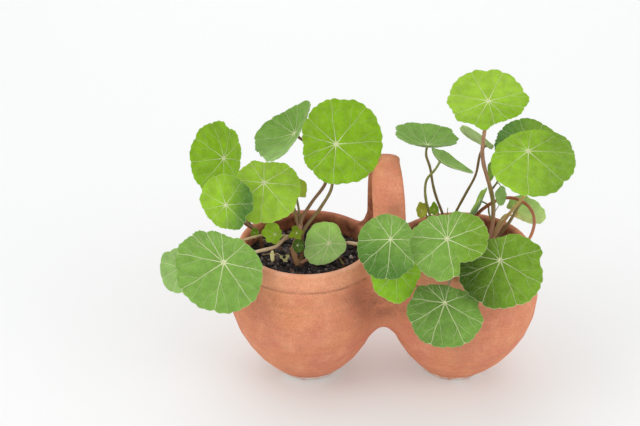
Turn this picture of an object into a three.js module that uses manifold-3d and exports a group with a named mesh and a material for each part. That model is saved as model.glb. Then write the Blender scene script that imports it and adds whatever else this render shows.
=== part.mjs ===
// Nasturtium plants in a twin terracotta pot, in millimetres, +Z up.
//
// Two round bowls are joined side by side and share one strap handle that arches from front to
// back over the joint. Each bowl is filled with soil, and several leafy shoots stand in it. Every
// leaf blade is a round shield carried at its hub by its own stalk. The build frame has its origin
// on the floor, midway between the two bowls, with the row of bowls along X and the front at -Y.
// The finished group is moved so that its origin is the middle of its bounding box at floor level.

import * as THREE from 'three';
import { mergeVertices } from 'three/addons/utils/BufferGeometryUtils.js';
import Module from 'manifold-3d';

const wasm = await Module();
wasm.setup();

// ---------------------------------------------------------------- driving dimensions

const GAP = 0.3;                    // clearance between pieces that touch
const BLADE = 0.9;                  // thickness of a leaf blade

// The bowls.
const BOWL_SPACING = 57;            // from the mid-plane to each bowl's axis
const RIM_HEIGHT = 107;
const RISE = [1.018, 1];            // the left bowl is this much taller, all along its height
const FOOT_SHIFT = [1.5, -3.5];     // each foot stands this far off its bowl's axis, along X
const FOOT_SHIFT_HEIGHT = 50;       // and the shift has faded out at this height
const BLEND = [                     // height, how softly the bowls run together there
  [30, 18], [55, 32], [100, 12],
];
const BOWL_SIDES = 36;
const RAY_CROWDING = 0.5;           // the rays of a ring crowd towards the joint, 0 being not at all
const SADDLE_REACH = 25;            // a ring is looked for this far outside its bowl's own radius
const HALVINGS = 30;                // steps of that search
const BOWL_OUTLINE = [              // height, outer radius
  [0, 17], [1.5, 20.5], [5, 25.5], [12, 33], [20, 40], [30, 46.5], [41, 52], [54, 55.8],
  [67, 57], [76, 56], [84, 53.6], [91, 51.4], [93.5, 50.4], [95.5, 51.3], [103, 50.2],
];
const LIP_OUTLINE = [[105.6, 49.3], [RIM_HEIGHT, 47]];
const CAVITY_OUTLINE = [            // radius, height
  [0, 9], [17, 11], [33, 22], [44.5, 40], [50.2, 64], [48, 81], [44.5, 93], [43.6, 102],
  [44.4, 105.6], [46.7, RIM_HEIGHT],
];
const CAVITY_SIDES = 24;
const MOUTH_CLEAR = 3;              // the cut for a cavity runs this far past its mouth

// The strap handle, an arch in the YZ plane.
const HANDLE_X = -0.3;              // middle of the strap
const HANDLE_LEAN = 0.06;           // the front half leans to the right on its way down
const HANDLE_SECTIONS = [           // y, z of the centre line, width along X, thickness
  [-19, 64, 32, 14], [-25.5, 79, 31, 13], [-28.5, 91, 27.5, 11], [-28.5, 103, 24, 9],
  [-27.3, 118, 22.8, 8.2], [-26, 140, 22.8, 8], [-22.5, 156, 22.6, 8.2], [-14, 167.6, 21.6, 9],
  [0, 172.1, 20, 10],
];
const STRAP_SIDES = 14;
const STRAP_SQUARENESS = 0.87;      // of its section: 1 is an ellipse, 0 a box

// The soil.
const SOIL_LEVEL = 94.6;
const SOIL_ROUGHNESS = 0.55;        // rise of each of the two waves in its top
const SOIL_WAVES = [4.1, 9, 5.3, 11];   // lengths of these waves along X and Y, over 2 pi
const SOIL_RINGS = [0.82, 0.6, 0.38, 0.18];
const SOIL_EDGE_DROP = 0.5;         // at the wall its top is this much lower
const WALL_GAPS = 1.5;              // how many gaps its straight-sided rings stand off the bowl's wall
const ROOT_DEPTH = 8;               // how deep a shoot's foot stands in the soil
const FOOT_PROUD = 2.5;             // and how far it stands proud of it
const FOOT_SIDES = 10;

// Leaf blades. hub: the point where the veins meet. faces: compass heading and elevation of the way
// the blade faces, in degrees. r: mean radius. longer: how far the hub sits off the middle, as a
// part of r, and the direction in which the blade is longer. cup: how far the margin rises above the
// hub. veins: the main veins' directions, or how many evenly spread. reach: directions in which the
// margin lies nearer or further than on the plain round, each with its part of the plain distance.
// notch: how deep the margin draws in where a main vein ends, as a part of r. All directions are in
// degrees from downhill.
const LEAVES = {
  left_leaf_01: { hub: [-35.7, -8.9, 191.6], faces: [-60, 30], r: 31, longer: [0.12, 100], cup: 4,
    veins: [35, 80, 125, 175, 220, 245, 275, 300, 335],
    reach: [[0, 0.94], [20, 0.97], [35, 1.01], [60, 1], [80, 1.05], [100, 1], [125, 1.04], [140, 1],
      [158, 0.95], [175, 1.03], [190, 1], [220, 1.04], [245, 1.07], [260, 1], [275, 1.09], [300, 1.06],
      [318, 1.05], [335, 1.05], [350, 0.96]] },
  left_leaf_02: { hub: [-65.6, 28, 182.1], faces: [-165, 45], r: 27, longer: [0.1, -5], cup: 9,
    veins: [-5, 40, 85, 130, 175, 215, 250, 285, 320],
    reach: [[0, 0.94], [20, 0.94], [40, 1.11], [60, 1.06], [85, 0.95], [100, 0.95], [118, 0.9],
      [130, 0.95], [150, 0.97], [175, 1.06], [192, 1], [215, 0.81], [232, 0.66], [250, 0.63],
      [265, 0.66], [285, 0.95], [295, 1.16], [312, 1.3], [335, 1.07], [350, 1]] },
  left_leaf_03: { hub: [-117, 26, 163], faces: [-135, 20], r: 26, longer: [0.03, 185], cup: 8,
    veins: [30, 75, 105, 135, 165, 205, 255, 295, 340],
    reach: [[0, 1.08], [60, 1], [100, 1.02], [120, 1], [140, 1], [152, 1.04], [161, 1.03], [170, 0.92],
      [180, 1.05], [200, 1], [220, 0.98], [250, 1.06], [282, 1.1], [315, 1.02]] },
  left_leaf_04: { hub: [-113, -20.5, 149.8], faces: [-105, 30], r: 20, longer: [0.08, 150], cup: 3,
    veins: [15, 55, 100, 150, 205, 250, 290, 325],
    reach: [[0, 0.89], [20, 0.95], [42, 1.06], [58, 1.02], [70, 0.87], [80, 0.95], [90, 1.03], [105, 1],
      [140, 0.98], [175, 0.99], [205, 1.06], [240, 1.04], [262, 0.99], [280, 0.89], [300, 0.81],
      [325, 0.82], [345, 0.86]] },
  left_leaf_05: { hub: [-86.5, -7.3, 160.5], faces: [-90, 35], r: 23.4, longer: [0.2, 5], cup: 2,
    veins: [40, 85, 120, 180, 215, 265, 310, 355],
    reach: [[0, 1.05], [22, 1.04], [42, 1.13], [60, 1.04], [85, 1.14], [100, 1.09], [118, 1.08],
      [132, 1.02], [142, 0.88], [168, 0.78], [185, 0.8], [212, 0.95], [225, 0.9], [250, 0.94], [275, 1],
      [320, 1.03], [350, 1.1]] },
  left_leaf_06: { hub: [-65, 14, 145], faces: [-90, 60], r: 8, longer: [0.1, 90], cup: 1, veins: 7,
    reach: [[0, 0.95], [15, 0.95], [25, 1.1], [42, 1.38], [60, 1.06], [90, 1], [130, 1], [240, 1]] },
  left_leaf_07: { hub: [-113.7, -50.3, 120.7], faces: [-90, 40], r: 30.3, longer: [0.27, -25], cup: 2,
    veins: [35, 77, 130, 185, 210, 230, 259, 304, 350],
    reach: [[0, 0.97], [20, 1], [38, 1.08], [50, 1.03], [60, 1.02], [82, 1.05], [100, 0.98],
      [120, 0.93], [142, 0.92], [162, 0.82], [172, 0.84], [185, 0.93], [206, 1], [220, 1.1],
      [230, 1.11], [240, 1.09], [250, 1.12], [260, 1.09], [282, 0.96], [300, 0.99], [320, 0.92],
      [340, 0.93]] },
  left_leaf_08: { hub: [-146, -35, 107.5], faces: [-120, 25], r: 15.5, longer: [0.1, 0], cup: 2, veins: 8,
    reach: [[0, 1.1], [30, 1.05], [90, 1], [200, 0.99], [225, 0.97], [245, 1.07], [260, 1.03],
      [290, 0.97], [330, 1.06]] },
  left_leaf_09: { hub: [-40.4, -11.7, 113.9], faces: [-90, 40], r: 15.3, longer: [0.15, -90], cup: 1,
    notch: 0.06,
    veins: [30, 85, 135, 180, 230, 280, 310, 340],
    reach: [[0, 0.97], [20, 0.92], [30, 0.95], [42, 0.89], [60, 0.97], [85, 1], [100, 0.89], [120, 0.8],
      [138, 0.93], [160, 1.01], [180, 1.03], [200, 1.01], [225, 1.08], [240, 1.02], [260, 0.97],
      [280, 1.05], [300, 1.18], [315, 1.24], [325, 1.17], [340, 1.12]] },
  left_leaf_10: { hub: [-79, -12, 121], faces: [-90, 40], r: 7.8, longer: [0.2, -90], cup: 1, notch: 0.16,
    veins: [45, 100, 140, 190, 240, 290, 335],
    reach: [[0, 0.95], [20, 0.94], [45, 0.81], [70, 0.81], [100, 0.8], [120, 0.83], [140, 0.83],
      [162, 0.98], [190, 1.2], [215, 1.14], [240, 1.15], [262, 1.08], [290, 0.92], [312, 0.92],
      [335, 0.89]] },
  left_leaf_11: { hub: [-63.6, -16, 124.4], faces: [-90, 45], r: 4.6, longer: [0.1, -90], cup: 0.5,
    notch: 0.1,
    veins: 5,
    reach: [[0, 1], [90, 0.9], [225, 1.15], [300, 1.1]] },
  left_leaf_12: { hub: [-63, -22, 118], faces: [-55, 25], r: 5, longer: [0.1, 0], cup: 1, notch: 0.1,
    veins: 5 },
  left_leaf_13: { hub: [-95, 8, 111], faces: [-45, 20], r: 4, longer: [0.1, 0], cup: 0.5, notch: 0.1,
    veins: 5 },
  left_leaf_14: { hub: [0.4, -66.7, 148.8], faces: [-115, 30], r: 21.5, longer: [0.25, -12], cup: 4,
    veins: [10, 60, 100, 145, 185, 225, 285, 325],
    reach: [[0, 1.04], [25, 1.08], [42, 1.05], [58, 1.14], [66, 0.98], [76, 0.79], [88, 0.74],
      [100, 0.8], [108, 0.9], [114, 1.02], [130, 1], [145, 1.07], [162, 1], [185, 1.04], [205, 1.02],
      [225, 1], [245, 0.96], [285, 0.98], [300, 0.96], [322, 0.99], [345, 1.02]] },
  right_leaf_01: { hub: [69, 0, 220.5], faces: [-100, 70], r: 28.8, longer: [0.04, 190], cup: 2,
    veins: [15, 40, 75, 110, 165, 210, 265, 310, 345],
    reach: [[0, 1.12], [12, 0.93], [25, 0.83], [45, 0.88], [62, 0.94], [82, 0.97], [92, 0.98],
      [112, 0.9], [138, 0.92], [155, 1.02], [172, 1.04], [190, 0.91], [203, 0.99], [225, 0.96],
      [250, 0.96], [283, 1], [298, 0.97], [310, 1.05], [322, 1.11], [338, 1.03], [350, 1.08]] },
  right_leaf_02: { hub: [98, -8, 186], faces: [-80, 65], r: 31, longer: [0.37, -5], cup: 1,
    veins: [30, 80, 115, 160, 200, 240, 270, 305, 345],
    reach: [[0, 0.97], [15, 0.96], [28, 0.93], [42, 0.95], [60, 1], [80, 1.1], [100, 1.05], [120, 1.03],
      [150, 0.97], [180, 0.9], [200, 0.88], [225, 0.78], [242, 0.8], [260, 0.83], [283, 0.91], [305, 1],
      [322, 0.93], [345, 1]] },
  right_leaf_03: { hub: [107, 28, 170.5], faces: [-50, 70], r: 30.5, longer: [0.08, 0], cup: 2,
    reach: [[0, 1.02], [20, 1.02], [60, 0.98], [80, 1.1], [100, 0.94], [125, 1], [155, 1.03],
      [180, 0.97], [200, 0.97], [225, 0.96], [245, 1.1], [270, 1.18], [320, 1]] },
  right_leaf_04: { hub: [29, 10, 182], faces: [48, 83.5], r: 23.3, longer: [0.03, 90], cup: 8, notch: 0.08,
    reach: [[0, 0.86], [20, 0.92], [40, 1.02], [60, 1.06], [100, 1], [240, 1.1], [262, 1.05],
      [300, 0.97], [320, 0.85], [340, 0.88]] },
  right_leaf_05: { hub: [39, 10, 169], faces: [15, 60], r: 16.2, longer: [0.5, -80], cup: 5.7, veins: 8,
    reach: [[0, 0.88], [20, 0.85], [45, 0.83], [65, 0.8], [85, 0.9], [120, 0.98], [140, 1], [200, 0.9],
      [260, 0.95], [290, 0.98], [312, 1.12], [326, 1.2], [340, 0.96]] },
  right_leaf_06: { hub: [72, 21.1, 176.3], faces: [43, 42], r: 15.3, longer: [0.5, 131], cup: 1, veins: 8,
    reach: [[0, 0.85], [60, 1], [200, 1], [240, 0.88], [275, 0.75], [310, 0.75]] },
  right_leaf_07: { hub: [101, 43, 111.2], faces: [90, 15], r: 15, longer: [0.46, -90], cup: 2, veins: 8,
    reach: [[0, 0.7], [22, 0.5], [50, 0.4], [75, 0.5], [95, 0.92], [120, 0.93], [150, 1], [200, 0.9],
      [222, 0.78], [240, 0.79], [260, 0.84], [280, 1.06], [300, 1.31], [310, 1.4], [320, 1.24],
      [332, 0.95], [342, 0.78]] },
  right_leaf_08: { hub: [77.5, 20, 156], faces: [-170, 5], r: 7, longer: [0.1, 0], cup: 1, veins: 6 },
  right_leaf_09: { hub: [71, 28, 127], faces: [172, 27], r: 13, longer: [0.1, 0], cup: 0.6, notch: 0.12,
    veins: 8,
    reach: [[0, 1], [180, 1], [240, 0.8], [300, 0.7]] },
  right_leaf_10: { hub: [28, 24, 120], faces: [-140, 20], r: 6.4, longer: [0.1, 180], cup: 1, notch: 0.1,
    veins: 6,
    reach: [[0, 0.88], [60, 0.92], [90, 1], [120, 1.14], [160, 1.16], [185, 1], [205, 1.02],
      [235, 0.85], [260, 0.78], [290, 0.73], [315, 0.62]] },
  right_leaf_11: { hub: [38, 32, 117], faces: [-135, 20], r: 5.4, longer: [0.1, 180], cup: 0.5, notch: 0.14,
    veins: 6,
    reach: [[0, 0.8], [120, 0.9], [150, 0.75], [190, 1.1], [230, 0.75], [280, 0.85]] },
  right_leaf_12: { hub: [39.3, -60, 145.2], faces: [-90, 60], r: 28.3, longer: [0.2, 0], cup: 3,
    veins: [5, 60, 110, 150, 175, 200, 225, 270, 315],
    reach: [[0, 1], [10, 0.95], [20, 0.65], [32, 0.72], [40, 0.76], [46, 0.8], [62, 0.91], [80, 0.95],
      [98, 1.05], [110, 1.11], [122, 1.08], [140, 0.97], [152, 0.95], [182, 0.79], [215, 0.86],
      [245, 0.85], [265, 0.95], [285, 0.95], [300, 0.97], [325, 1], [338, 1], [350, 1.04]] },
  right_leaf_13: { hub: [38.7, -71.4, 101.3], faces: [-90, 60], r: 26.8, longer: [0.31, 0], cup: 2,
    veins: [20, 55, 110, 165, 195, 225, 265, 305, 340],
    reach: [[0, 1], [20, 1.05], [40, 0.98], [57, 1.02], [78, 0.86], [100, 0.93], [112, 0.84],
      [125, 0.68], [145, 0.6], [170, 0.68], [200, 0.78], [222, 0.88], [236, 1], [258, 0.95], [285, 1],
      [310, 0.98], [340, 1.04]] },
  right_leaf_14: { hub: [77.6, -51.5, 123.2], faces: [-90, 55], r: 30.5, longer: [0.24, 0], cup: 2,
    veins: [15, 55, 105, 165, 190, 225, 260, 295, 335],
    reach: [[0, 0.98], [22, 1], [42, 0.98], [55, 1], [74, 0.94], [86, 0.9], [106, 1.13], [122, 1.01],
      [140, 0.95], [160, 0.88], [175, 0.74], [200, 0.73], [240, 0.9], [285, 0.97], [297, 1.04],
      [308, 0.99], [325, 0.98], [340, 1.02]] },
  right_leaf_15: { hub: [6, -50, 114], faces: [-90, 40], r: 19, longer: [0.2, 0], cup: 2,
    reach: [[0, 1.08], [20, 0.95], [38, 0.88], [60, 0.79], [80, 0.93], [100, 0.88], [120, 0.95],
      [180, 1], [270, 1], [298, 0.93], [320, 1.02], [335, 0.95], [350, 1]] },
};
const MAIN_VEINS = 9;               // where a leaf gives none of its own
const NOTCH = 0.05;                 // likewise
const NOTCH_WIDTH = 0.8;            // 1 is a round bay from vein to vein, less is narrower
const WAVE = 0.04;                  // rise and fall of the margin, as a part of the radius
const WAVES = 3;                    // such waves in one turn
const WAVE_START = 0.5;             // the first one's place, in radians
const CUP_CURVE = 1.6;              // powers of the way out by which the cup
const WAVE_CURVE = 3;               // and the waves grow
const LARGE_BLADE = 18;             // a blade of this radius or more is a large one
const SMALL_BLADE = 12;             // and one under this radius a small one
const MARGIN_STEPS = [11, 15, 24];  // degrees from point to point of a large, middling and small margin
const DEEP_CUP = 3;                 // a blade cupped more than this is split once more on the way out

// Shoots. foot: where the shoot stands in the soil, with its radius there. stalks: each runs from
// the foot, or from its own first point, through its points to the hub of the leaf that it names.
// Near the hub a stalk runs square to the blade.
const STALK_SIDES = 6;
const STRAIGHT_END = 7;             // length of that last stretch, or more on a large blade
const STRAIGHT_PART = 0.32;         // as a part of the blade's radius
const STALK_STEPS = 1.5;            // stretches of a tube for each point of its route
const SHOOTS = {
  left_shoot_main: {
    foot: [-62, -12, 3.6],
    stalks: [
      { r: 2.1, points: [[-62, -12, 94], [-65, -12, 102], [-66, -11, 108], [-64, -10, 115],
        [-62, -8, 122], [-61, -6, 126]] },
      { r: 1.2, leaf: 'left_leaf_01', points: [[-61, -11, 94], [-60, -8, 106], [-60, -6, 115],
        [-58, -4, 121], [-47, 3, 134], [-39, 8, 147], [-38, 9, 158], [-39, 9, 172]] },
      { r: 1.2, leaf: 'left_leaf_02', points: [[-61, -7, 124], [-60, -5, 130], [-53, 3, 139],
        [-43, 14, 149], [-41, 23, 158], [-46, 28, 167], [-53, 30, 172]] },
      { r: 1.1, leaf: 'left_leaf_05', points: [[-62, -8, 122], [-64, -3, 130], [-66, 1, 136],
        [-73, 5, 143]] },
      { r: 0.9, leaf: 'left_leaf_06', points: [[-61, -7, 124], [-62, 0, 133]] },
      { r: 1.2, leaf: 'left_leaf_07', points: [[-62, -9, 119], [-72, -18, 121], [-78, -27, 120],
        [-85, -33, 121], [-92, -38, 122], [-103, -41, 119]] },
      { r: 0.9, leaf: 'left_leaf_08', points: [[-63, -9, 117], [-72, -8, 117.5], [-86, -6, 117],
        [-98, -14, 119], [-118, -24, 116], [-134, -27, 108]] },
      { r: 0.8, leaf: 'left_leaf_10', points: [[-73, -8, 117.4]] },
      { r: 0.7, leaf: 'left_leaf_11', points: [[-62, -8, 120], [-62, -11, 121]] },
      { r: 0.7, leaf: 'left_leaf_12', points: [[-64, -10, 114], [-65, -13, 114]] },
      { r: 1.3, leaf: 'left_leaf_14', points: [[-62, -12, 96.5], [-56, -10, 99], [-40, 0, 103],
        [-28, -7, 111], [-21, -20, 118], [-12, -39, 129], [-3, -55, 138]] },
    ],
  },
  left_shoot_young: {
    foot: [-30, -14, 1.7],
    stalks: [{ r: 0.8, leaf: 'left_leaf_09', points: [[-30, -14, 92], [-30, -14, 96.5], [-34, -9, 101]] }],
  },
  left_shoot_back: {
    foot: [-90, 13, 2.2],
    stalks: [
      { r: 1.6, points: [[-90, 13, 94], [-91, 13, 103], [-93, 13, 109], [-97, 13, 113]] },
      { r: 1.1, leaf: 'left_leaf_04', points: [[-94, 13, 110], [-101, 10, 117], [-106, 2, 128],
        [-109, -9, 141]] },
      { r: 1.1, leaf: 'left_leaf_03', points: [[-94, 13, 110], [-101, 15, 118], [-105, 20, 127],
        [-109, 26, 141], [-111, 30, 153]] },
      { r: 0.6, leaf: 'left_leaf_13', points: [[-93, 13, 109], [-96, 11, 109]] },
    ],
  },
  right_shoot_main: {
    foot: [78, 15, 4.2],
    stalks: [
      { r: 1.9, leaf: 'right_leaf_01', points: [[78, 15, 94], [79, 15, 104], [80, 15, 120],
        [79, 15, 134], [76, 14, 146], [73, 12, 156], [70, 10, 166], [68, 7, 178], [68, 5, 190],
        [69, 4, 203]] },
      { r: 1.1, leaf: 'right_leaf_02', points: [[79, 14, 97], [88, 12, 119], [93, 9, 130],
        [98, 4, 141], [100, -5, 153], [100, -10, 165]] },
      { r: 1.1, leaf: 'right_leaf_03', points: [[80, 15, 97], [91, 16, 113], [97, 18, 124],
        [103, 23, 134], [106, 28, 148]] },
      { r: 1.0, leaf: 'right_leaf_07', points: [[79, 16, 96], [84, 23, 106], [92, 33, 112]] },
      { r: 0.7, leaf: 'right_leaf_08', points: [[77, 15, 142], [82, 17, 150]] },
      { r: 0.7, leaf: 'right_leaf_09', points: [[80, 15, 114], [78, 24, 119]] },
    ],
  },
  right_shoot_loop: {
    foot: [64, 20, 1.5],
    stalks: [
      { r: 1.2, leaf: 'right_leaf_14', points: [[64, 20, 94], [66, 20, 107], [69, 21, 119],
        [79, 22, 128], [87, 22, 132], [94, 20, 133.5], [100, 14, 134], [104, 7, 133.5],
        [106, -1, 132.5], [106, -10, 131], [104, -20, 130], [100, -30, 128], [93, -38, 124]] },
    ],
  },
  right_shoot_back: {
    foot: [49, 25, 3.0],
    stalks: [
      { r: 1.0, leaf: 'right_leaf_04', points: [[49, 25, 94], [46, 22, 110], [43, 20, 121],
        [38, 18, 135], [35, 16, 146], [32, 13, 162]] },
      { r: 1.0, leaf: 'right_leaf_05', points: [[48, 25, 95], [42, 20, 104], [36, 17, 112],
        [33, 14, 124], [30, 12, 136], [29, 12, 145], [30, 12, 153]] },
      { r: 1.0, leaf: 'right_leaf_06', points: [[49, 25, 95], [51, 26, 109], [54, 26, 119],
        [60, 24, 135], [66, 21, 152]] },
      { r: 0.7, leaf: 'right_leaf_10', points: [[47, 24, 97], [40, 25, 104], [33, 27, 113]] },
      { r: 0.7, leaf: 'right_leaf_11', points: [[48, 25, 97], [43, 32, 108]] },
    ],
  },
  right_shoot_front: {
    foot: [48, -8, 2.8],
    stalks: [
      { r: 1.2, leaf: 'right_leaf_12', points: [[48, -8, 94], [47, -20, 113], [43, -40, 129]] },
      { r: 1.1, leaf: 'right_leaf_13', points: [[48, -9, 97], [48, -26, 103], [46, -45, 110],
        [43, -54, 107.5], [39, -62, 99]] },
      { r: 1.0, leaf: 'right_leaf_15', points: [[47, -9, 97], [36, -22, 105], [24, -34, 111.5],
        [13, -41, 112]] },
    ],
  },
};

const COLORS = { terracotta: '#c67a52', soil: '#2f2723', stalk: '#8a7a4e', blade: '#6d9c3a' };
const BLADE_COLORS = {              // the blades that aren't the common fresh green
  '#86ad33': ['left_leaf_05', 'left_leaf_06', 'left_leaf_11', 'right_leaf_01', 'right_leaf_10',
    'right_leaf_15'],
  '#5d9150': ['left_leaf_02', 'left_leaf_07', 'left_leaf_14', 'right_leaf_04', 'right_leaf_05',
    'right_leaf_06', 'right_leaf_12', 'right_leaf_13'],
  '#93b482': ['left_leaf_08', 'left_leaf_09', 'right_leaf_07'],
};

// ---------------------------------------------------------------- solids and geometry helpers

const radians = THREE.MathUtils.degToRad;
const range = (count, make) => Array.from({ length: count }, (_, i) => make(i));

/** A manifold solid from a closed three.js geometry. */
function solid(geometry) {
  const bare = geometry.index ? geometry.clone() : geometry;
  bare.deleteAttribute('normal');
  bare.deleteAttribute('uv');
  const merged = mergeVertices(bare, 1e-4);
  return new wasm.Manifold(new wasm.Mesh({
    numProp: 3,
    vertProperties: merged.attributes.position.array,
    triVerts: new Uint32Array(merged.index.array),
  }));
}

/** The three.js geometry of a manifold solid. */
function geometryOf(body) {
  const { vertProperties, triVerts } = body.getMesh();
  const geometry = new THREE.BufferGeometry();
  geometry.setAttribute('position', new THREE.BufferAttribute(new Float32Array(vertProperties), 3));
  geometry.setIndex(new THREE.BufferAttribute(new Uint32Array(triVerts), 1));
  return geometry;
}

/** Six times the signed volume enclosed by triangles over a list of points. */
function signedVolume(points, triangles) {
  let sum = 0;
  for (let i = 0; i < triangles.length; i += 3) {
    const [a, b, c] = [points[triangles[i]], points[triangles[i + 1]], points[triangles[i + 2]]];
    sum += a.dot(new THREE.Vector3().crossVectors(b, c));
  }
  return sum;
}

/** A geometry from points and triangles, with its faces turned to point out. */
function closedGeometry(points, triangles) {
  if (signedVolume(points, triangles) < 0) triangles.reverse();
  const geometry = new THREE.BufferGeometry().setFromPoints(points);
  geometry.setIndex(triangles);
  return geometry;
}

/** A closed body lofted through rings of equally many points, with a fan over each end. */
function loft(rings) {
  const sides = rings[0].length;
  const points = rings.flat();
  const triangles = [];
  const middle = (ring) => ring.reduce((sum, p) => sum.add(p), new THREE.Vector3()).divideScalar(sides);
  points.push(middle(rings[0]), middle(rings.at(-1)));
  const [first, last] = [points.length - 2, points.length - 1];
  const top = (rings.length - 1) * sides;
  for (let i = 0; i < sides; i++) {
    const j = (i + 1) % sides;
    triangles.push(first, j, i, last, top + i, top + j);
    for (let row = 0; row < rings.length - 1; row++) {
      const [a, b] = [row * sides + i, row * sides + j];
      triangles.push(a, b, b + sides, a, b + sides, a + sides);
    }
  }
  return closedGeometry(points, triangles);
}

// ---------------------------------------------------------------- the pot

/** Value at a place from rows of place and value, straight from row to row. */
function valueAt(rows, place) {
  const next = rows.findIndex(([at]) => at >= place);
  if (next <= 0) return rows.at(next)[1];
  const [[a, low], [b, high]] = [rows[next - 1], rows[next]];
  return THREE.MathUtils.mapLinear(place, a, b, low, high);
}

/** X of a bowl's axis at a height. side is 0 for the left bowl and 1 for the right one. */
function bowlAxis(side, z) {
  const fade = Math.max(1 - z / FOOT_SHIFT_HEIGHT, 0) ** 2;
  return (side ? BOWL_SPACING : -BOWL_SPACING) + FOOT_SHIFT[side] * fade;
}

/** How far a point lies outside the two bowls, which run together softly near the mid-plane. */
function outsideBowls(x, y, z, radius) {
  const [left, right] = [0, 1].map((side) => Math.hypot(x - bowlAxis(side, z), y) - radius);
  const blend = valueAt(BLEND, z);
  return Math.min(left, right) - Math.max(blend - Math.abs(left - right), 0) ** 2 / (4 * blend);
}

/** One ring of a bowl's outer wall: each ray from the axis is followed out to the wall, or to 1 mm
    past the mid-plane where the bowls are one. */
function bowlRing(side, z, radius) {
  const facing = side ? Math.PI : 0;
  const axis = bowlAxis(side, z);
  return Array.from({ length: BOWL_SIDES }, (_, i) => {
    const step = (2 * Math.PI * i) / BOWL_SIDES;
    const angle = step - RAY_CROWDING * Math.sin(step);
    const [cos, sin] = [Math.cos(facing + angle), Math.sin(facing + angle)];
    const reach = Math.cos(angle) > 0 ? (Math.abs(axis) + 1) / Math.cos(angle) : Infinity;
    let [low, high] = [Math.min(radius - 0.01, reach), Math.min(radius + SADDLE_REACH, reach)];
    for (let k = 0; k < HALVINGS; k++) {
      const mid = (low + high) / 2;
      if (outsideBowls(axis + mid * cos, mid * sin, z, radius) < 0) low = mid;
      else high = mid;
    }
    return new THREE.Vector3(axis + low * cos, low * sin, z);
  });
}

/** The outer body of one bowl, filled. */
function bowlBody(side) {
  const outline = [...BOWL_OUTLINE, ...LIP_OUTLINE];
  return solid(loft(outline.map(([z, radius]) => bowlRing(side, z * RISE[side], radius))));
}

/** The room inside one bowl, up through its mouth. */
function cavity(side) {
  const top = RIM_HEIGHT + MOUTH_CLEAR;
  const outline = [...CAVITY_OUTLINE, [CAVITY_OUTLINE.at(-1)[0], top], [0, top]];
  const room = new THREE.LatheGeometry(outline.map(([r, z]) => new THREE.Vector2(r, z)), CAVITY_SIDES);
  room.rotateX(Math.PI / 2).scale(1, 1, RISE[side]);
  room.translate(side ? BOWL_SPACING : -BOWL_SPACING, 0, 0);
  return solid(room);
}

/** The strap handle with its flared feet. */
function handle() {
  const half = HANDLE_SECTIONS;
  const all = [...half, ...half.slice(0, -1).reverse().map(([y, z, w, t]) => [-y, z, w, t])];
  const line = all.map(([y, z]) => new THREE.Vector2(y, z));
  const top = half.at(-1)[1];
  const rings = all.map(([y, z, width, thickness], i) => {
    const middle = HANDLE_X + (y < 0 ? HANDLE_LEAN * (top - z) : 0);
    const along = line[Math.min(i + 1, line.length - 1)].clone().sub(line[Math.max(i - 1, 0)]).normalize();
    return Array.from({ length: STRAP_SIDES }, (_, k) => {
      const angle = (2 * Math.PI * (k + 0.5)) / STRAP_SIDES;
      const [cos, sin] = [Math.cos(angle), Math.sin(angle)];
      const across = (Math.sign(cos) * Math.abs(cos) ** STRAP_SQUARENESS * width) / 2;
      const out = (Math.sign(sin) * Math.abs(sin) ** STRAP_SQUARENESS * thickness) / 2;
      return new THREE.Vector3(middle + across, y - out * along.y, z + out * along.x);
    });
  });
  return solid(loft(rings));
}

function pot() {
  const body = bowlBody(0).add(bowlBody(1)).add(handle());
  return geometryOf(body.subtract(cavity(0)).subtract(cavity(1)));
}

// ---------------------------------------------------------------- the soil

/** Height of the soil's uneven top. */
function soilTop(x, y) {
  const [a, b, c, d] = SOIL_WAVES;
  return SOIL_LEVEL + SOIL_ROUGHNESS * (Math.sin(x / a + y / b) + Math.cos(y / c - x / d));
}

/** The soil in one bowl, with a plain hole for the foot of each shoot. */
function soil(side) {
  const centre = side ? BOWL_SPACING : -BOWL_SPACING;
  const brim = SOIL_LEVEL - SOIL_EDGE_DROP;
  const outline = CAVITY_OUTLINE.map(([r, z]) => [z * RISE[side], r]);
  const wall = outline.filter(([z, r]) => r > 0 && z + GAP < brim);
  const ring = (radius, height) => Array.from({ length: CAVITY_SIDES }, (_, i) => {
    const angle = (2 * Math.PI * i) / CAVITY_SIDES;
    const [x, y] = [centre + radius * Math.cos(angle), radius * Math.sin(angle)];
    return new THREE.Vector3(x, y, height ?? soilTop(x, y));
  });
  const edge = valueAt(outline, brim) - GAP;
  const rings = wall.map(([z, r]) => ring(r - WALL_GAPS * GAP, z + GAP));
  rings.push(ring(edge, brim), ...SOIL_RINGS.map((part) => ring(edge * part)));
  let body = solid(loft(rings));
  for (const { foot: [x, y, radius] } of Object.values(SHOOTS)) {
    if (Math.sign(x) !== Math.sign(centre)) continue;
    const hole = new THREE.CylinderGeometry(radius + GAP, radius + GAP, 2 * ROOT_DEPTH, FOOT_SIDES);
    hole.rotateX(Math.PI / 2).translate(x, y, SOIL_LEVEL - GAP);
    body = body.subtract(solid(hole));
  }
  return geometryOf(body);
}

// ---------------------------------------------------------------- leaves and shoots

/** A blade's own directions: n out of its face, down its slope, and along it. */
function bladeFrame({ faces }) {
  const [h, e] = faces.map(radians);
  const n = new THREE.Vector3(Math.cos(e) * Math.cos(h), Math.cos(e) * Math.sin(h), Math.sin(e));
  const down = new THREE.Vector3(Math.sin(e) * Math.cos(h), Math.sin(e) * Math.sin(h), -Math.cos(e));
  return { n, down, along: new THREE.Vector3().crossVectors(n, down) };
}

/** A leaf's main veins, as directions from 0 to a full turn in rising order. */
function veinDirections({ veins = MAIN_VEINS, longer: [, toward] }) {
  const own = Array.isArray(veins) ? veins : range(veins, (i) => toward + (360 * i) / veins);
  return own.map((direction) => THREE.MathUtils.euclideanModulo(direction, 360)).sort((a, b) => a - b);
}

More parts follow.
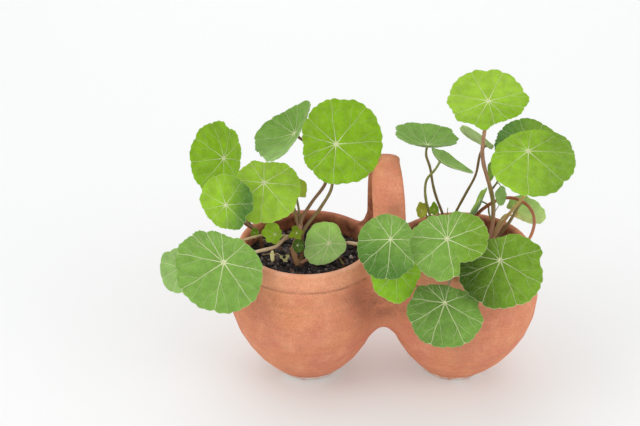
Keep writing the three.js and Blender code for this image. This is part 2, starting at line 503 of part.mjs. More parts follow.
/** Which of a turn's rising directions comes before another one, and the part of the way to the next. */
function between(directions, direction) {
  const stops = [...directions, directions[0] + 360].map((one) => one - directions[0]);
  const turned = THREE.MathUtils.euclideanModulo(direction - directions[0], 360);
  const i = directions.findLastIndex((_, k) => stops[k] <= turned);
  return [i, (turned - stops[i]) / (stops[i + 1] - stops[i])];
}

/** Distance from the hub to the margin: an off-centre circle, stretched by the leaf's own reach and
    notched where each main vein ends. */
function marginRadius({ r, longer, notch = NOTCH, reach = [[0, 1]], ...leaf }, direction) {
  const [off, toward] = longer;
  const a = radians(direction - toward);
  const round = r * (off * Math.cos(a) + Math.sqrt(1 - (off * Math.sin(a)) ** 2));
  const [i, share] = between(reach.map(([at]) => at), direction);
  const [here, next] = [reach[i][1], reach[(i + 1) % reach.length][1]];
  const stretch = here + (next - here) * THREE.MathUtils.smoothstep(share, 0, 1);
  const [, part] = between(veinDirections({ ...leaf, longer }), direction);
  return round * stretch * (1 - notch * (1 - Math.sin(Math.PI * part) ** NOTCH_WIDTH));
}

/** A point of the blade's face, t being 0 at the hub and 1 at the margin. */
function bladePoint(leaf, frame, t, direction, lift) {
  const reach = t * marginRadius(leaf, direction);
  const angle = radians(direction);
  const a = radians(direction - leaf.longer[1]);
  const wave = WAVE * leaf.r * t ** WAVE_CURVE * Math.sin(WAVES * a + WAVE_START);
  const height = leaf.cup * t ** CUP_CURVE + wave + lift;
  return new THREE.Vector3(...leaf.hub)
    .addScaledVector(frame.down, reach * Math.cos(angle))
    .addScaledVector(frame.along, reach * Math.sin(angle))
    .addScaledVector(frame.n, height);
}

/** A leaf blade of even thickness, its two faces split into the same triangles. */
function blade(leaf) {
  const frame = bladeFrame(leaf);
  const { r, cup } = leaf;
  const finest = MARGIN_STEPS[r >= LARGE_BLADE ? 0 : r >= SMALL_BLADE ? 1 : 2];
  const veins = veinDirections(leaf);
  const directions = veins.flatMap((vein, i) => {
    const gap = (i + 1 < veins.length ? veins[i + 1] : veins[0] + 360) - vein;
    const parts = Math.max(2, Math.round(gap / finest));
    return range(parts, (k) => vein + (gap * k) / parts);
  });
  const sectors = directions.length;
  const steps = cup > DEEP_CUP && r >= SMALL_BLADE ? [0.4, 0.75, 1] : [0.55, 1];
  const perFace = 1 + steps.length * sectors;
  const points = [];
  for (const lift of [0, -BLADE]) {
    points.push(bladePoint(leaf, frame, 0, 0, lift));
    for (const t of steps) {
      points.push(...directions.map((direction) => bladePoint(leaf, frame, t, direction, lift)));
    }
  }
  const triangles = [];
  for (let i = 0; i < sectors; i++) {
    const j = (i + 1) % sectors;
    const face = [[0, 1 + i, 1 + j]];
    for (let row = 0; row < steps.length - 1; row++) {
      const [a, b] = [1 + row * sectors + i, 1 + row * sectors + j];
      face.push([a, a + sectors, b + sectors], [a, b + sectors, b]);
    }
    for (const [a, b, c] of face) triangles.push(a, b, c, perFace + a, perFace + c, perFace + b);
    const [a, b] = [perFace - sectors + i, perFace - sectors + j];
    triangles.push(a, perFace + a, perFace + b, a, perFace + b, b);
  }
  return closedGeometry(points, triangles);
}

/** A stalk: a round tube through points, ending just under the hub of the leaf that it carries. */
function stalk({ r, leaf, points }) {
  const route = points.map((p) => new THREE.Vector3(...p));
  if (leaf) {
    const { hub, r: size } = LEAVES[leaf];
    const { n } = bladeFrame(LEAVES[leaf]);
    const under = new THREE.Vector3(...hub);
    const straight = Math.max(STRAIGHT_END, STRAIGHT_PART * size) * Math.min(1, size / SMALL_BLADE);
    route.push(under.clone().addScaledVector(n, -straight));
    route.push(under.addScaledVector(n, -BLADE - GAP));
  }
  const curve = new THREE.CatmullRomCurve3(route, false, 'centripetal');
  const section = new THREE.Shape(Array.from({ length: STALK_SIDES }, (_, i) => {
    const angle = (2 * Math.PI * i) / STALK_SIDES;
    return new THREE.Vector2(r * Math.cos(angle), r * Math.sin(angle));
  }));
  const tube = new THREE.ExtrudeGeometry(section, {
    steps: Math.round(STALK_STEPS * route.length),
    extrudePath: curve,
  });
  return solid(tube);
}

/** All stalks of a shoot, grown together with its foot. */
function shoot({ foot: [x, y, radius], stalks }) {
  const root = new THREE.CylinderGeometry(0.6 * radius, radius, ROOT_DEPTH + FOOT_PROUD, FOOT_SIDES);
  root.rotateX(Math.PI / 2).translate(x, y, SOIL_LEVEL + (FOOT_PROUD - ROOT_DEPTH) / 2);
  return geometryOf(stalks.reduce((body, one) => body.add(stalk(one)), solid(root)));
}

// ---------------------------------------------------------------- the assembly

const plant = new THREE.Group();

function place(name, geometry, color, roughness) {
  const mesh = new THREE.Mesh(geometry, new THREE.MeshStandardMaterial({ color, roughness, metalness: 0 }));
  mesh.name = name;
  plant.add(mesh);
}

/** The colour of the blade of a leaf. */
function bladeColor(name) {
  const own = Object.entries(BLADE_COLORS).find(([, names]) => names.includes(name));
  return own ? own[0] : COLORS.blade;
}

place('twin_pot', pot(), COLORS.terracotta, 0.85);
place('soil_left', soil(0), COLORS.soil, 1);
place('soil_right', soil(1), COLORS.soil, 1);
for (const [name, one] of Object.entries(SHOOTS)) place(name, shoot(one), COLORS.stalk, 0.6);
for (const [name, leaf] of Object.entries(LEAVES)) place(name, blade(leaf), bladeColor(name), 0.55);

const box = new THREE.Box3().setFromObject(plant);
const middle = box.getCenter(new THREE.Vector3());
plant.position.set(-middle.x, -middle.y, -box.min.z);

export default plant;
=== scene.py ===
"""Nasturtium plants in a twin terracotta pot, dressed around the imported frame.

Two thrown bowls are joined side by side and share one strap handle. Both are filled with potting
soil, and young nasturtiums grow in it: every leaf is a round shield carried at its hub by a stalk of
its own. The pot, the soil, the stalks and the blades are each made again here as fine surfaces that
keep the forms and places of the frame's solids.

Sizes in this file are in millimetres in the pot's own directions: the origin is on the floor midway
between the bowls, X runs along the row of bowls, the front is at -Y and Z is up. ``Frame.place``
turns them into the frame's metres.
"""

import logging
import math
from dataclasses import dataclass, field
from enum import Enum

import bpy
import numpy as np
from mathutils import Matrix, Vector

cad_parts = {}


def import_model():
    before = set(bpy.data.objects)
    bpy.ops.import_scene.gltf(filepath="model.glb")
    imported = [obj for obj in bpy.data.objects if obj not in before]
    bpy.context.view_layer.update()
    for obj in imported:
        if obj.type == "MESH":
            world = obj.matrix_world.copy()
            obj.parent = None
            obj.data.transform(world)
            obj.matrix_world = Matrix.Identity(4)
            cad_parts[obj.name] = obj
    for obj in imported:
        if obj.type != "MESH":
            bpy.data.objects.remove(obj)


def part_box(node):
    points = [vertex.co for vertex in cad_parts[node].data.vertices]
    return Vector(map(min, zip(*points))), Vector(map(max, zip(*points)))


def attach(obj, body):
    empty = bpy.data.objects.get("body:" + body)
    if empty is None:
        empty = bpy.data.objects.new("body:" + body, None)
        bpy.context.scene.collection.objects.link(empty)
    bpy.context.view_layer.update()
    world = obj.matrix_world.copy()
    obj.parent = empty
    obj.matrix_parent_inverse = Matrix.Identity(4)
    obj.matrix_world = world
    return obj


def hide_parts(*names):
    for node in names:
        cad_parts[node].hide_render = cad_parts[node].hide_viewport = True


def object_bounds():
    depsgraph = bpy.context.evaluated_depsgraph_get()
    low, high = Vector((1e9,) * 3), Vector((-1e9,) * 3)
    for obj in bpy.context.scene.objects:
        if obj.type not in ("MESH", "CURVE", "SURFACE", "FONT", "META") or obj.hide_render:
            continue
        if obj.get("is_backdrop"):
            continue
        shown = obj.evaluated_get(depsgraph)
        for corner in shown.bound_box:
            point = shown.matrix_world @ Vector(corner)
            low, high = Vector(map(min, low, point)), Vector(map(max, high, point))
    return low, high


LOG = logging.getLogger("nasturtium")
BODY = "root"
MM = 0.001


# ------------------------------------------------------------------ colours


def linear(code: str) -> tuple[float, float, float, float]:
    """Turns an sRGB hex colour to linear red, green, blue and alpha.

    Args:
        code: A colour such as "#c67a52".

    Returns:
        The linear colour, with an alpha of 1.
    """
    parts = [int(code[i : i + 2], 16) / 255 for i in (1, 3, 5)]
    red, green, blue = (c / 12.92 if c <= 0.04045 else ((c + 0.055) / 1.055) ** 2.4 for c in parts)
    return red, green, blue, 1.0


class Green(Enum):
    """The greens of nasturtium blades, each with the record's material slot that it belongs to."""

    YOUNG = ("#a2cc38", "young_leaf")
    LIME = ("#9bd22d", "young_leaf")
    SPRING = ("#c9d84a", "young_leaf")
    TAWNY = ("#7f9410", "young_leaf")
    FRESH = ("#8bbb17", "leaf")
    BRIGHT = ("#9ecd31", "leaf")
    DEEP = ("#7da82c", "leaf")
    OLIVE = ("#a4cc28", "leaf")
    DARK = ("#41600c", "leaf")
    MATURE = ("#84b14c", "mature_leaf")
    DUSKY = ("#54842e", "mature_leaf")
    BLUE = ("#729b43", "mature_leaf")
    HOARY = ("#e4ffb0", "mature_leaf")
    LIGHT = ("#c4e890", "mature_leaf")
    PALE = ("#b5e570", "pale_leaf")
    SAGE = ("#a2cb72", "pale_leaf")
    ASHEN = ("#dcf7a0", "pale_leaf")
    DRY = ("#d6cf96", "pale_leaf")

    @property
    def code(self) -> str:
        """The green as an sRGB hex colour."""
        return self.value[0]

    @property
    def slot(self) -> str:
        """The record's material slot."""
        return self.value[1]


class Bark(Enum):
    """The colours of stalk skin."""

    BROWN = "#8d6a4d"
    ROSY = "#bb8a70"
    RUSSET = "#b36a45"
    OLIVE = "#8f8a4a"
    GOLDEN = "#d8c46a"
    STRAW = "#d3b98c"
    CREAM = "#dccaa2"
    LEAFY = "#9aa85a"
    TAN = "#b98f66"
    UMBER = "#6d4f3b"


class Crumb(Enum):
    """The colours of what potting soil is mixed from, each with its share of the crumbs."""

    PEAT = ("#2b2425", 0.52)
    DUSTY = ("#6a5e5f", 0.33)
    BARK = ("#6d4a38", 0.12)
    HUSK = ("#a08a72", 0.018)
    PERLITE = ("#e2ddd6", 0.012)

    @property
    def code(self) -> str:
        """The colour as an sRGB hex colour."""
        return self.value[0]

    @property
    def share(self) -> float:
        """The part of all crumbs that have it."""
        return self.value[1]


# ------------------------------------------------------------------ nodes


def add_node(tree: bpy.types.NodeTree, kind: str, inputs: dict | None = None, **settings) -> bpy.types.Node:
    """Adds one shader node with its settings and its inputs.

    Args:
        tree: The material's node tree.
        kind: The node's type, such as "ShaderNodeTexNoise".
        inputs: Values, or other nodes' output sockets to link from, by input name or number.
        **settings: Properties of the node itself.

    Returns:
        The new node.
    """
    made = tree.nodes.new(kind)
    for name, value in settings.items():
        setattr(made, name, value)
    for key, value in (inputs or {}).items():
        if isinstance(value, bpy.types.NodeSocket):
            tree.links.new(value, made.inputs[key])
        else:
            made.inputs[key].default_value = value
    return made


def new_material(name: str) -> tuple[bpy.types.Material, bpy.types.NodeTree]:
    """Makes an empty node material.

    Args:
        name: The material's name.

    Returns:
        The material and its node tree, with no node in it yet.
    """
    material = bpy.data.materials.new(name)
    material.use_nodes = True
    tree = material.node_tree
    tree.nodes.clear()
    return material, tree


# ------------------------------------------------------------------ meshes


@dataclass
class Surface:
    """Points with faces and per-point values, gathered before they become one mesh.

    Attributes:
        points: Arrays of points in millimetres, one for each part.
        faces: Arrays of faces, each with its own number of corners, numbered over all points.
        values: Per-point numbers by name, one array for each part.
        colours: Per-point linear colours, one array for each part.
        flat: Per-point places on the flattened piece, one array for each part.
    """

    points: list[np.ndarray] = field(default_factory=list)
    faces: list[np.ndarray] = field(default_factory=list)
    values: dict[str, list[np.ndarray]] = field(default_factory=dict)
    colours: list[np.ndarray] = field(default_factory=list)
    flat: list[np.ndarray] = field(default_factory=list)

    @property
    def count(self) -> int:
        """How many points there are so far."""
        return sum(len(part) for part in self.points)

    def add(
        self,
        points: np.ndarray,
        faces: list[np.ndarray],
        values: dict[str, np.ndarray | float] | None = None,
        colour: np.ndarray | None = None,
        flat: np.ndarray | None = None,
    ) -> None:
        """Adds one part.

        Args:
            points: The part's points, in rows of three.
            faces: Its faces, numbered from its own first point.
            values: Numbers by name, one for each point or one for all.
            colour: A linear colour for each point, or one for all.
            flat: The place of each point on the flattened piece.
        """
        start, size = self.count, len(points)
        self.points.append(np.asarray(points, float))
        self.faces.extend(np.asarray(part) + start for part in faces)
        for name, value in (values or {}).items():
            self.values.setdefault(name, []).append(np.broadcast_to(np.asarray(value, float), (size,)))
        if colour is not None:
            self.colours.append(np.broadcast_to(np.asarray(colour, float), (size, 4)))
        if flat is not None:
            self.flat.append(np.asarray(flat, float))


@dataclass
class Frame:
    """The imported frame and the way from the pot's own millimetres into it.

    Attributes:
        shift: The pot's own origin in the frame, in metres.
    """

    shift: np.ndarray = field(init=False)

    def __post_init__(self) -> None:
        """Loads the frame and finds the pot's origin, which is midway between its sides."""
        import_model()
        low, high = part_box("twin_pot")
        self.shift = np.array([(low.x + high.x) / 2, (low.y + high.y) / 2, 0.0])

    def place(self, points: np.ndarray) -> np.ndarray:
        """Turns points in the pot's own millimetres to the frame's metres."""
        return points * MM + self.shift

    def piece(
        self,
        name: str,
        surface: Surface,
        material: bpy.types.Material,
        nodes: tuple[str, ...] = (),
    ) -> bpy.types.Object:
        """Makes a mesh object of a surface, which rides on the body and may stand for nodes.

        Args:
            name: The piece's name.
            surface: Its points and faces.
            material: Its finish.
            nodes: The frame's nodes that it replaces.

        Returns:
            The new object, at the origin, with its place in its mesh.
        """
        mesh = bpy.data.meshes.new(name)
        points = self.place(np.concatenate(surface.points))
        sizes = np.concatenate([np.full(len(part), part.shape[1]) for part in surface.faces])
        corners = np.concatenate([part.ravel() for part in surface.faces])
        mesh.vertices.add(len(points))
        mesh.vertices.foreach_set("co", points.ravel())
        mesh.loops.add(len(corners))
        mesh.loops.foreach_set("vertex_index", corners)
        mesh.polygons.add(len(sizes))
        mesh.polygons.foreach_set("loop_start", np.concatenate([[0], np.cumsum(sizes)[:-1]]))
        mesh.polygons.foreach_set("use_smooth", np.ones(len(sizes), bool))
        for key, parts in surface.values.items():
            attribute = mesh.attributes.new(key, "FLOAT", "POINT")
            attribute.data.foreach_set("value", np.concatenate(parts).astype(np.float32))
        if surface.colours:
            attribute = mesh.attributes.new("tint", "FLOAT_COLOR", "POINT")
            attribute.data.foreach_set("color", np.concatenate(surface.colours).ravel().astype(np.float32))
        if surface.flat:
            layer = mesh.uv_layers.new(name="flat")
            layer.data.foreach_set("uv", np.concatenate(surface.flat)[corners].ravel())
        mesh.update(calc_edges=True)
        mesh.validate()
        mesh.materials.append(material)
        made = bpy.data.objects.new(name, mesh)
        bpy.context.scene.collection.objects.link(made)
        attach(made, BODY)
        if nodes:
            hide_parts(*nodes)
        LOG.info("%s: %d faces", name, len(mesh.polygons))
        return made


def smooth_route(points: np.ndarray, per_span: int) -> np.ndarray:
    """A centripetal Catmull-Rom curve through points.

    Each span is the cubic whose end slopes are those of the non-uniform curve with knots spaced by
    the square root of the distance between points, and the ends are carried on in a straight line.

    Args:
        points: The points, in rows of three.
        per_span: Stretches between two points.

    Returns:
        Points along the curve.
    """
    ends = 2 * points[0] - points[1], 2 * points[-1] - points[-2]
    p = np.vstack([ends[0], points, ends[1]])
    knots = np.sqrt(np.linalg.norm(np.diff(p, axis=0), axis=1))[:, None]
    a, b, c, d = p[:-3], p[1:-2], p[2:-1], p[3:]
    u, v, w = knots[:-2], knots[1:-1], knots[2:]
    first = ((b - a) / u - (c - a) / (u + v) + (c - b) / v) * v
    last = ((c - b) / v - (d - b) / (v + w) + (d - c) / w) * v
    s = (np.arange(per_span) / per_span)[None, :, None]
    shape = (2 * s**3 - 3 * s**2 + 1, s**3 - 2 * s**2 + s, 3 * s**2 - 2 * s**3, s**3 - s**2)
    terms = (b, first, c, last)
    curve = sum(weight * term[:, None] for weight, term in zip(shape, terms, strict=True))
    return np.vstack([curve.reshape(-1, 3), points[-1]])


def tube(path: np.ndarray, radii: np.ndarray, sides: int) -> tuple[np.ndarray, list[np.ndarray]]:
    """A round tube along a path, closed at both ends by fans.

    Every ring lies square to the path. Its first direction is the world axis that the path runs
    along least, with the part along the path taken out.

    Args:
        path: Points of the centre line.
        radii: The radius at each of them.
        sides: Points in a ring.

    Returns:
        The points and the faces.
    """
    along = np.gradient(path, axis=0)
    along /= np.linalg.norm(along, axis=1, keepdims=True)
    axis = np.eye(3)[np.argmin(np.abs(along).max(axis=0))]
    side = axis - along * (along @ axis)[:, None]
    side /= np.linalg.norm(side, axis=1, keepdims=True)
    up = np.cross(along, side)
    turn = 2 * np.pi * np.arange(sides) / sides
    ring = np.cos(turn)[None, :, None] * side[:, None] + np.sin(turn)[None, :, None] * up[:, None]
    points = path[:, None] + ring * radii[:, None, None]
    rows = len(path)
    wall = grid_faces(rows, sides)
    first, last = rows * sides, rows * sides + 1
    i = np.arange(sides)
    j = (i + 1) % sides
    caps = np.vstack(
        [
            np.stack([np.full(sides, first), j, i], 1),
            np.stack([np.full(sides, last), (rows - 1) * sides + i, (rows - 1) * sides + j], 1),
        ]
    )
    return np.vstack([points.reshape(-1, 3), path[0], path[-1]]), [wall, caps]


def grid_faces(rows: int, columns: int, start: int = 0, closed: bool = True) -> np.ndarray:
    """Four-sided faces over rows of points, each row being a ring unless closed is false.

    Args:
        rows: Number of rows.
        columns: Points in a row.
        start: Number of the first point.
        closed: Whether a row's last point is joined to its first.

    Returns:
        The faces.
    """
    i, j = np.meshgrid(np.arange(rows - 1), np.arange(columns if closed else columns - 1), indexing="ij")
    k = (j + 1) % columns
    quads = np.stack([i * columns + j, i * columns + k, (i + 1) * columns + k, (i + 1) * columns + j], -1)
    return quads.reshape(-1, 4) + start


def smooth_least(a: np.ndarray, b: np.ndarray, blend: np.ndarray | float) -> np.ndarray:
    """The lower of two fields, run together softly where they differ by less than blend."""
    return np.minimum(a, b) - np.maximum(blend - np.abs(a - b), 0) ** 2 / (4 * blend)


def smooth_step(x: np.ndarray, low: float, high: float) -> np.ndarray:
    """Rises smoothly from 0 at low to 1 at high."""
    t = np.clip((x - low) / (high - low), 0, 1)
    return t * t * (3 - 2 * t)


def surface_net(values: np.ndarray) -> tuple[np.ndarray, np.ndarray]:
    """The surface where a field on a grid changes sign, as four-sided faces.

    Each cell that the surface passes through gets one point, the mean of the places where it
    crosses the cell's edges. Each grid edge that it crosses gets one face, between the points of
    the four cells round that edge.

    Args:
        values: The field at the grid's points, below 0 inside.

    Returns:
        The points, in steps of the grid, and the faces, which point outwards.
    """
    corners = [(i, j, k) for i in (0, 1) for j in (0, 1) for k in (0, 1)]
    cells = tuple(n - 1 for n in values.shape)
    inside = values < 0
    shown = [inside[i : i + cells[0], j : j + cells[1], k : k + cells[2]] for i, j, k in corners]
    mixed = np.any(shown, axis=0) & ~np.all(shown, axis=0)
    at = np.argwhere(mixed)
    number = np.full(cells, -1)
    number[mixed] = np.arange(len(at))
    total, hits = np.zeros((len(at), 3)), np.zeros(len(at))
    for a in corners:
        for axis in range(3):
            if a[axis]:
                continue
            b = tuple(v + (n == axis) for n, v in enumerate(a))
            va, vb = values[tuple((at + a).T)], values[tuple((at + b).T)]
            cut = (va < 0) != (vb < 0)
            share = np.where(cut, va / np.where(cut, va - vb, 1), 0)
            total += cut[:, None] * (np.array(a) + share[:, None] * np.eye(3)[axis])
            hits += cut
    faces = []
    for axis in range(3):
        one, two = np.eye(3, dtype=int)[(axis + 1) % 3], np.eye(3, dtype=int)[(axis + 2) % 3]
        step = np.eye(3, dtype=int)[axis]
        low = inside[tuple(slice(0, n - s) for n, s in zip(values.shape, step, strict=True))]
        high = inside[tuple(slice(s, n) for n, s in zip(values.shape, step, strict=True))]
        edge = np.argwhere(low != high)
        edge = edge[np.all((edge @ np.stack([one, two]).T) > 0, axis=1)]
        quad = np.stack([number[tuple((edge - o).T)] for o in (0 * one, one, one + two, two)], 1)
        turned = low[tuple(edge.T)]
        faces.append(np.where(turned[:, None], quad, quad[:, ::-1]))
    return at + total / hits[:, None], np.vstack(faces)


# ------------------------------------------------------------------ finishes


@dataclass(frozen=True)
class Coat:
    """What every finish has: its roughness and sheen, and a pattern of its own that stands out.

    Attributes:
        relief_share: How strongly the pattern stands out.
        relief_mm: How high it stands.
    """

    roughness: float = 0.5
    sheen: float = 0.4
    relief_share: float = 0.4
    relief_mm: float = 0.2

    def coat(
        self, tree: bpy.types.NodeTree, colour: bpy.types.NodeSocket, height: bpy.types.NodeSocket
    ) -> bpy.types.NodeSocket:
        """Adds the coat to a material.

        Args:
            tree: The material's node tree.
            colour: Its colour.
            height: The pattern that stands out.

        Returns:
            The shaded coat.
        """
        bump = add_node(
            tree,
            "ShaderNodeBump",
            {"Height": height, "Strength": self.relief_share, "Distance": self.relief_mm * MM},
        )
        inputs = {
            "Base Color": colour,
            "Roughness": self.roughness,
            "Specular IOR Level": self.sheen,
            "Normal": bump.outputs["Normal"],
        }
        return add_node(tree, "ShaderNodeBsdfPrincipled", inputs).outputs["BSDF"]


@dataclass(frozen=True)
class Terracotta(Coat):
    """Earthenware, thrown, wiped and fired without a glaze.

    Iron in the clay gives it its orange. The eye sees a matte, slightly sandy skin, cloudy patches
    from an uneven fire, faint rings left by the fingers, soot and painted shade near the joint,
    painted shade in the creases, in the hollows and behind the rims, a painted highlight on the
    front of the collars, and lime on the foot.

    Attributes:
        patches_in_cloud: How many patches lie across one cloud.
        ring_stretch: The rings' pattern along X, Y and Z, which is drawn out along the floor.
        ranges: For each use of a pattern: its name, the pattern, the two values of it between which
            the use rises, and what it rises from and to.
        joins: For each value made of two others: its name, how they are joined, and the two.
    """

    clay: str = "#e0936b"
    # Paler clay, also used for the painted highlight on the front of the collars.
    bright: str = "#f0ab84"
    rosy: str = "#d6866a"
    # Soot, and also the colour of the painted shade in the joint, creases, hollows and behind the rims.
    soot: str = "#7a4432"
    lime: str = "#e4dbd2"
    cloud_mm: float = 30.0
    patches_in_cloud: float = 2.6
    ring_mm: float = 2.6
    ring_stretch: tuple[float, float, float] = (0.03, 0.03, 1.0)
    sand_mm: float = 0.9
    speck_mm: float = 1.8
    ranges: tuple[tuple[str, str, float, float, float, float], ...] = (
        ("mellow", "cloud", 0.36, 0.64, 0.0, 1.0),
        ("sunny", "patch", 0.45, 0.7, 0.0, 0.55),
        ("sandy", "sand", 0.3, 0.7, 0.82, 1.1),
        ("ringed", "ring", 0.3, 0.7, 0.95, 1.04),
        ("broken", "patch", 0.3, 0.62, 0.0, 1.0),
        ("specks", "speck", 0.61, 0.78, 0.0, 0.4),
        ("flaking", "patch", 0.38, 0.5, 0.0, 1.0),
    )
    joins: tuple[tuple[str, str, str, str], ...] = (
        # pale adds the painted highlight on the collars (crest) to random paler patches; the soot values
        # carry painted shade too.
        ("pale", "ADD", "sunny", "crest"),
        ("shade", "MULTIPLY", "sandy", "ringed"),
        ("broken_soot_and_shade", "MULTIPLY", "soot", "broken"),
        ("sooty", "ADD", "broken_soot_and_shade", "specks"),
        ("limy", "MULTIPLY", "lime", "flaking"),
    )
    roughness: float = 0.86
    sheen: float = 0.3
    relief_share: float = 0.5
    relief_mm: float = 0.5

    def material(self) -> bpy.types.Material:
        """Builds the finish from its places, soot and painted shade, lime and painted highlight."""
        material, tree = new_material("terracotta_unglazed")
        place = add_node(tree, "ShaderNodeTexCoord").outputs["Object"]
        level = add_node(tree, "ShaderNodeMapping", {"Vector": place, "Scale": self.ring_stretch})
        pattern = {
            name: add_node(
                tree,
                "ShaderNodeTexNoise",
                {"Vector": at, "Scale": 1 / (size * MM), "Detail": detail, "Roughness": fineness},
            ).outputs["Fac"]
            for name, at, size, detail, fineness in (
                ("cloud", place, self.cloud_mm, 4.0, 0.5),
                ("patch", place, self.cloud_mm / self.patches_in_cloud, 6.0, 0.65),
                ("sand", place, self.sand_mm, 3.0, 0.5),
                ("ring", level.outputs["Vector"], self.ring_mm, 3.0, 0.5),
                ("speck", place, self.speck_mm, 2.0, 0.5),
            )
        }
        part = {
            name: add_node(tree, "ShaderNodeAttribute", attribute_name=name).outputs["Fac"]
            for name in ("soot", "lime", "crest")
        }
        for name, source, first, last, low, high in self.ranges:
            part[name] = add_node(
                tree,
                "ShaderNodeMapRange",
                {
                    "Value": pattern[source],
                    "From Min": first,
                    "From Max": last,
                    "To Min": low,
                    "To Max": high,
                },
            ).outputs["Result"]
        for name, join, one, two in self.joins:
            part[name] = add_node(
                tree,
                "ShaderNodeMath",
                {0: part[one], 1: part[two]},
                operation=join,
                use_clamp=join == "ADD",
            ).outputs[0]
        # Paler patches with the painted highlight, then grain, then soot with painted shade, then lime.
        colour = linear(self.rosy)
        for share, over in (("mellow", self.clay), ("pale", self.bright)):
            colour = add_node(
                tree, "ShaderNodeMix", {0: part[share], 6: colour, 7: linear(over)}, data_type="RGBA"
            ).outputs[2]
        colour = add_node(
            tree, "ShaderNodeVectorMath", {0: colour, "Scale": part["shade"]}, operation="SCALE"
        ).outputs["Vector"]
        for share, over in (("sooty", self.soot), ("limy", self.lime)):
            colour = add_node(
                tree, "ShaderNodeMix", {0: part[share], 6: colour, 7: linear(over)}, data_type="RGBA"
            ).outputs[2]
        relief = add_node(
            tree,
            "ShaderNodeMath",
            {0: pattern["sand"], 1: pattern["ring"], 2: pattern["patch"]},
            operation="MULTIPLY_ADD",
        ).outputs[0]
        add_node(tree, "ShaderNodeOutputMaterial", {"Surface": self.coat(tree, colour, relief)})
        return material


@dataclass(frozen=True)
class BladeSkin(Coat):
    """Living nasturtium blade, smooth and water-shedding above, paler and matter below.

    Light passes through the thin tissue. The veins and the fine net between them hold less green,
    so that the eye sees them as pale lines.

    Attributes:
        below_share: How far the underside turns to its own colour.
        net_mm: Size of a cell of the net.
        net_share: How far the net turns to the veins' colour.
        net_line: Distances from a cell's edge between which the net fades out, in cells.
        mottle: The darkest and the lightest shade of the mottling.
        through: The part of the light that passes through.
    """

    vein: str = "#f4f9c8"
    below: str = "#b9cf9c"
    below_share: float = 0.3
    net_mm: float = 3.4
    net_share: float = 0.05
    net_line: tuple[float, float] = (0.02, 0.1)
    mottle_mm: float = 6.5
    mottle: tuple[float, float] = (0.83, 1.12)
    roughness: float = 0.55
    sheen: float = 0.15
    relief_share: float = 0.3
    relief_mm: float = 0.25
    through: float = 0.2

    def material(self) -> bpy.types.Material:
        """Builds the finish from the blade's tint, vein, under and edge values and its flat map."""
        material, tree = new_material("nasturtium_blade")
        place = add_node(tree, "ShaderNodeTexCoord").outputs["Object"]
        flat = add_node(tree, "ShaderNodeUVMap", uv_map="flat").outputs["UV"]
        tint, vein, under, edge = (
            add_node(tree, "ShaderNodeAttribute", attribute_name=name).outputs[socket]
            for name, socket in (("tint", "Color"), ("vein", "Fac"), ("under", "Fac"), ("edge", "Fac"))
        )
        mottle = add_node(
            tree, "ShaderNodeTexNoise", {"Vector": place, "Scale": 1 / (self.mottle_mm * MM), "Detail": 4.0}
        ).outputs["Fac"]
        cells = add_node(
            tree,
            "ShaderNodeTexVoronoi",
            {"Vector": flat, "Scale": FLAT_SPAN / self.net_mm},
            feature="DISTANCE_TO_EDGE",
        ).outputs["Distance"]
        shade, net = (
            add_node(
                tree,
                "ShaderNodeMapRange",
                {"Value": value, "From Min": first, "From Max": last, "To Min": low, "To Max": high},
            ).outputs["Result"]
            for value, first, last, low, high in (
                (mottle, 0.3, 0.7, *self.mottle),
                (cells, *self.net_line, self.net_share, 0.0),
            )
        )
        paler = add_node(
            tree, "ShaderNodeMath", {0: under, 1: self.below_share}, operation="MULTIPLY"
        ).outputs[0]
        lines = add_node(tree, "ShaderNodeMath", {0: vein, 1: edge}, operation="MAXIMUM").outputs[0]
        colour = add_node(
            tree, "ShaderNodeVectorMath", {0: tint, "Scale": shade}, operation="SCALE"
        ).outputs["Vector"]
        for share, over in ((net, self.vein), (paler, self.below), (lines, self.vein)):
            colour = add_node(
                tree, "ShaderNodeMix", {0: share, 6: colour, 7: linear(over)}, data_type="RGBA"
            ).outputs[2]
        glow = add_node(tree, "ShaderNodeBsdfTranslucent", {"Color": colour}).outputs["BSDF"]
        both = add_node(
            tree, "ShaderNodeMixShader", {0: self.through, 1: self.coat(tree, colour, cells), 2: glow}
        )
        add_node(tree, "ShaderNodeOutputMaterial", {"Surface": both.outputs["Shader"]})
        return material


@dataclass(frozen=True)
class TintedSkin(Coat):
    """A finish in the piece's own tint, with a grain that is darker, lighter and raised in turn.

    Attributes:
        grain_mm: Size of the grain.
        detail: How many finer grains lie in it.
        shades: The darkest and the lightest shade of the tint.
    """

    name: str = ""
    grain_mm: float = 1.0
    detail: float = 4.0
    shades: tuple[float, float] = (1.0, 1.0)

    def material(self) -> bpy.types.Material:
        """Builds the finish."""
        material, tree = new_material(self.name)
        place = add_node(tree, "ShaderNodeTexCoord").outputs["Object"]
        tint = add_node(tree, "ShaderNodeAttribute", attribute_name="tint").outputs["Color"]
        grain = add_node(
            tree,
            "ShaderNodeTexNoise",
            {"Vector": place, "Scale": 1 / (self.grain_mm * MM), "Detail": self.detail},
        ).outputs["Fac"]
        low, high = self.shades
        shade = add_node(
            tree,
            "ShaderNodeMapRange",
            {"Value": grain, "From Min": 0.3, "From Max": 0.7, "To Min": low, "To Max": high},
        ).outputs["Result"]
        colour = add_node(
            tree, "ShaderNodeVectorMath", {0: tint, "Scale": shade}, operation="SCALE"
        ).outputs["Vector"]
        add_node(tree, "ShaderNodeOutputMaterial", {"Surface": self.coat(tree, colour, grain)})
        return material


@dataclass(frozen=True)
class StalkSkin(TintedSkin):
    """Fleshy stalk skin: the eye sees faint streaks and a soft waxy shine."""

    name: str = "nasturtium_stalk"
    grain_mm: float = 1.6
    shades: tuple[float, float] = (0.84, 1.14)


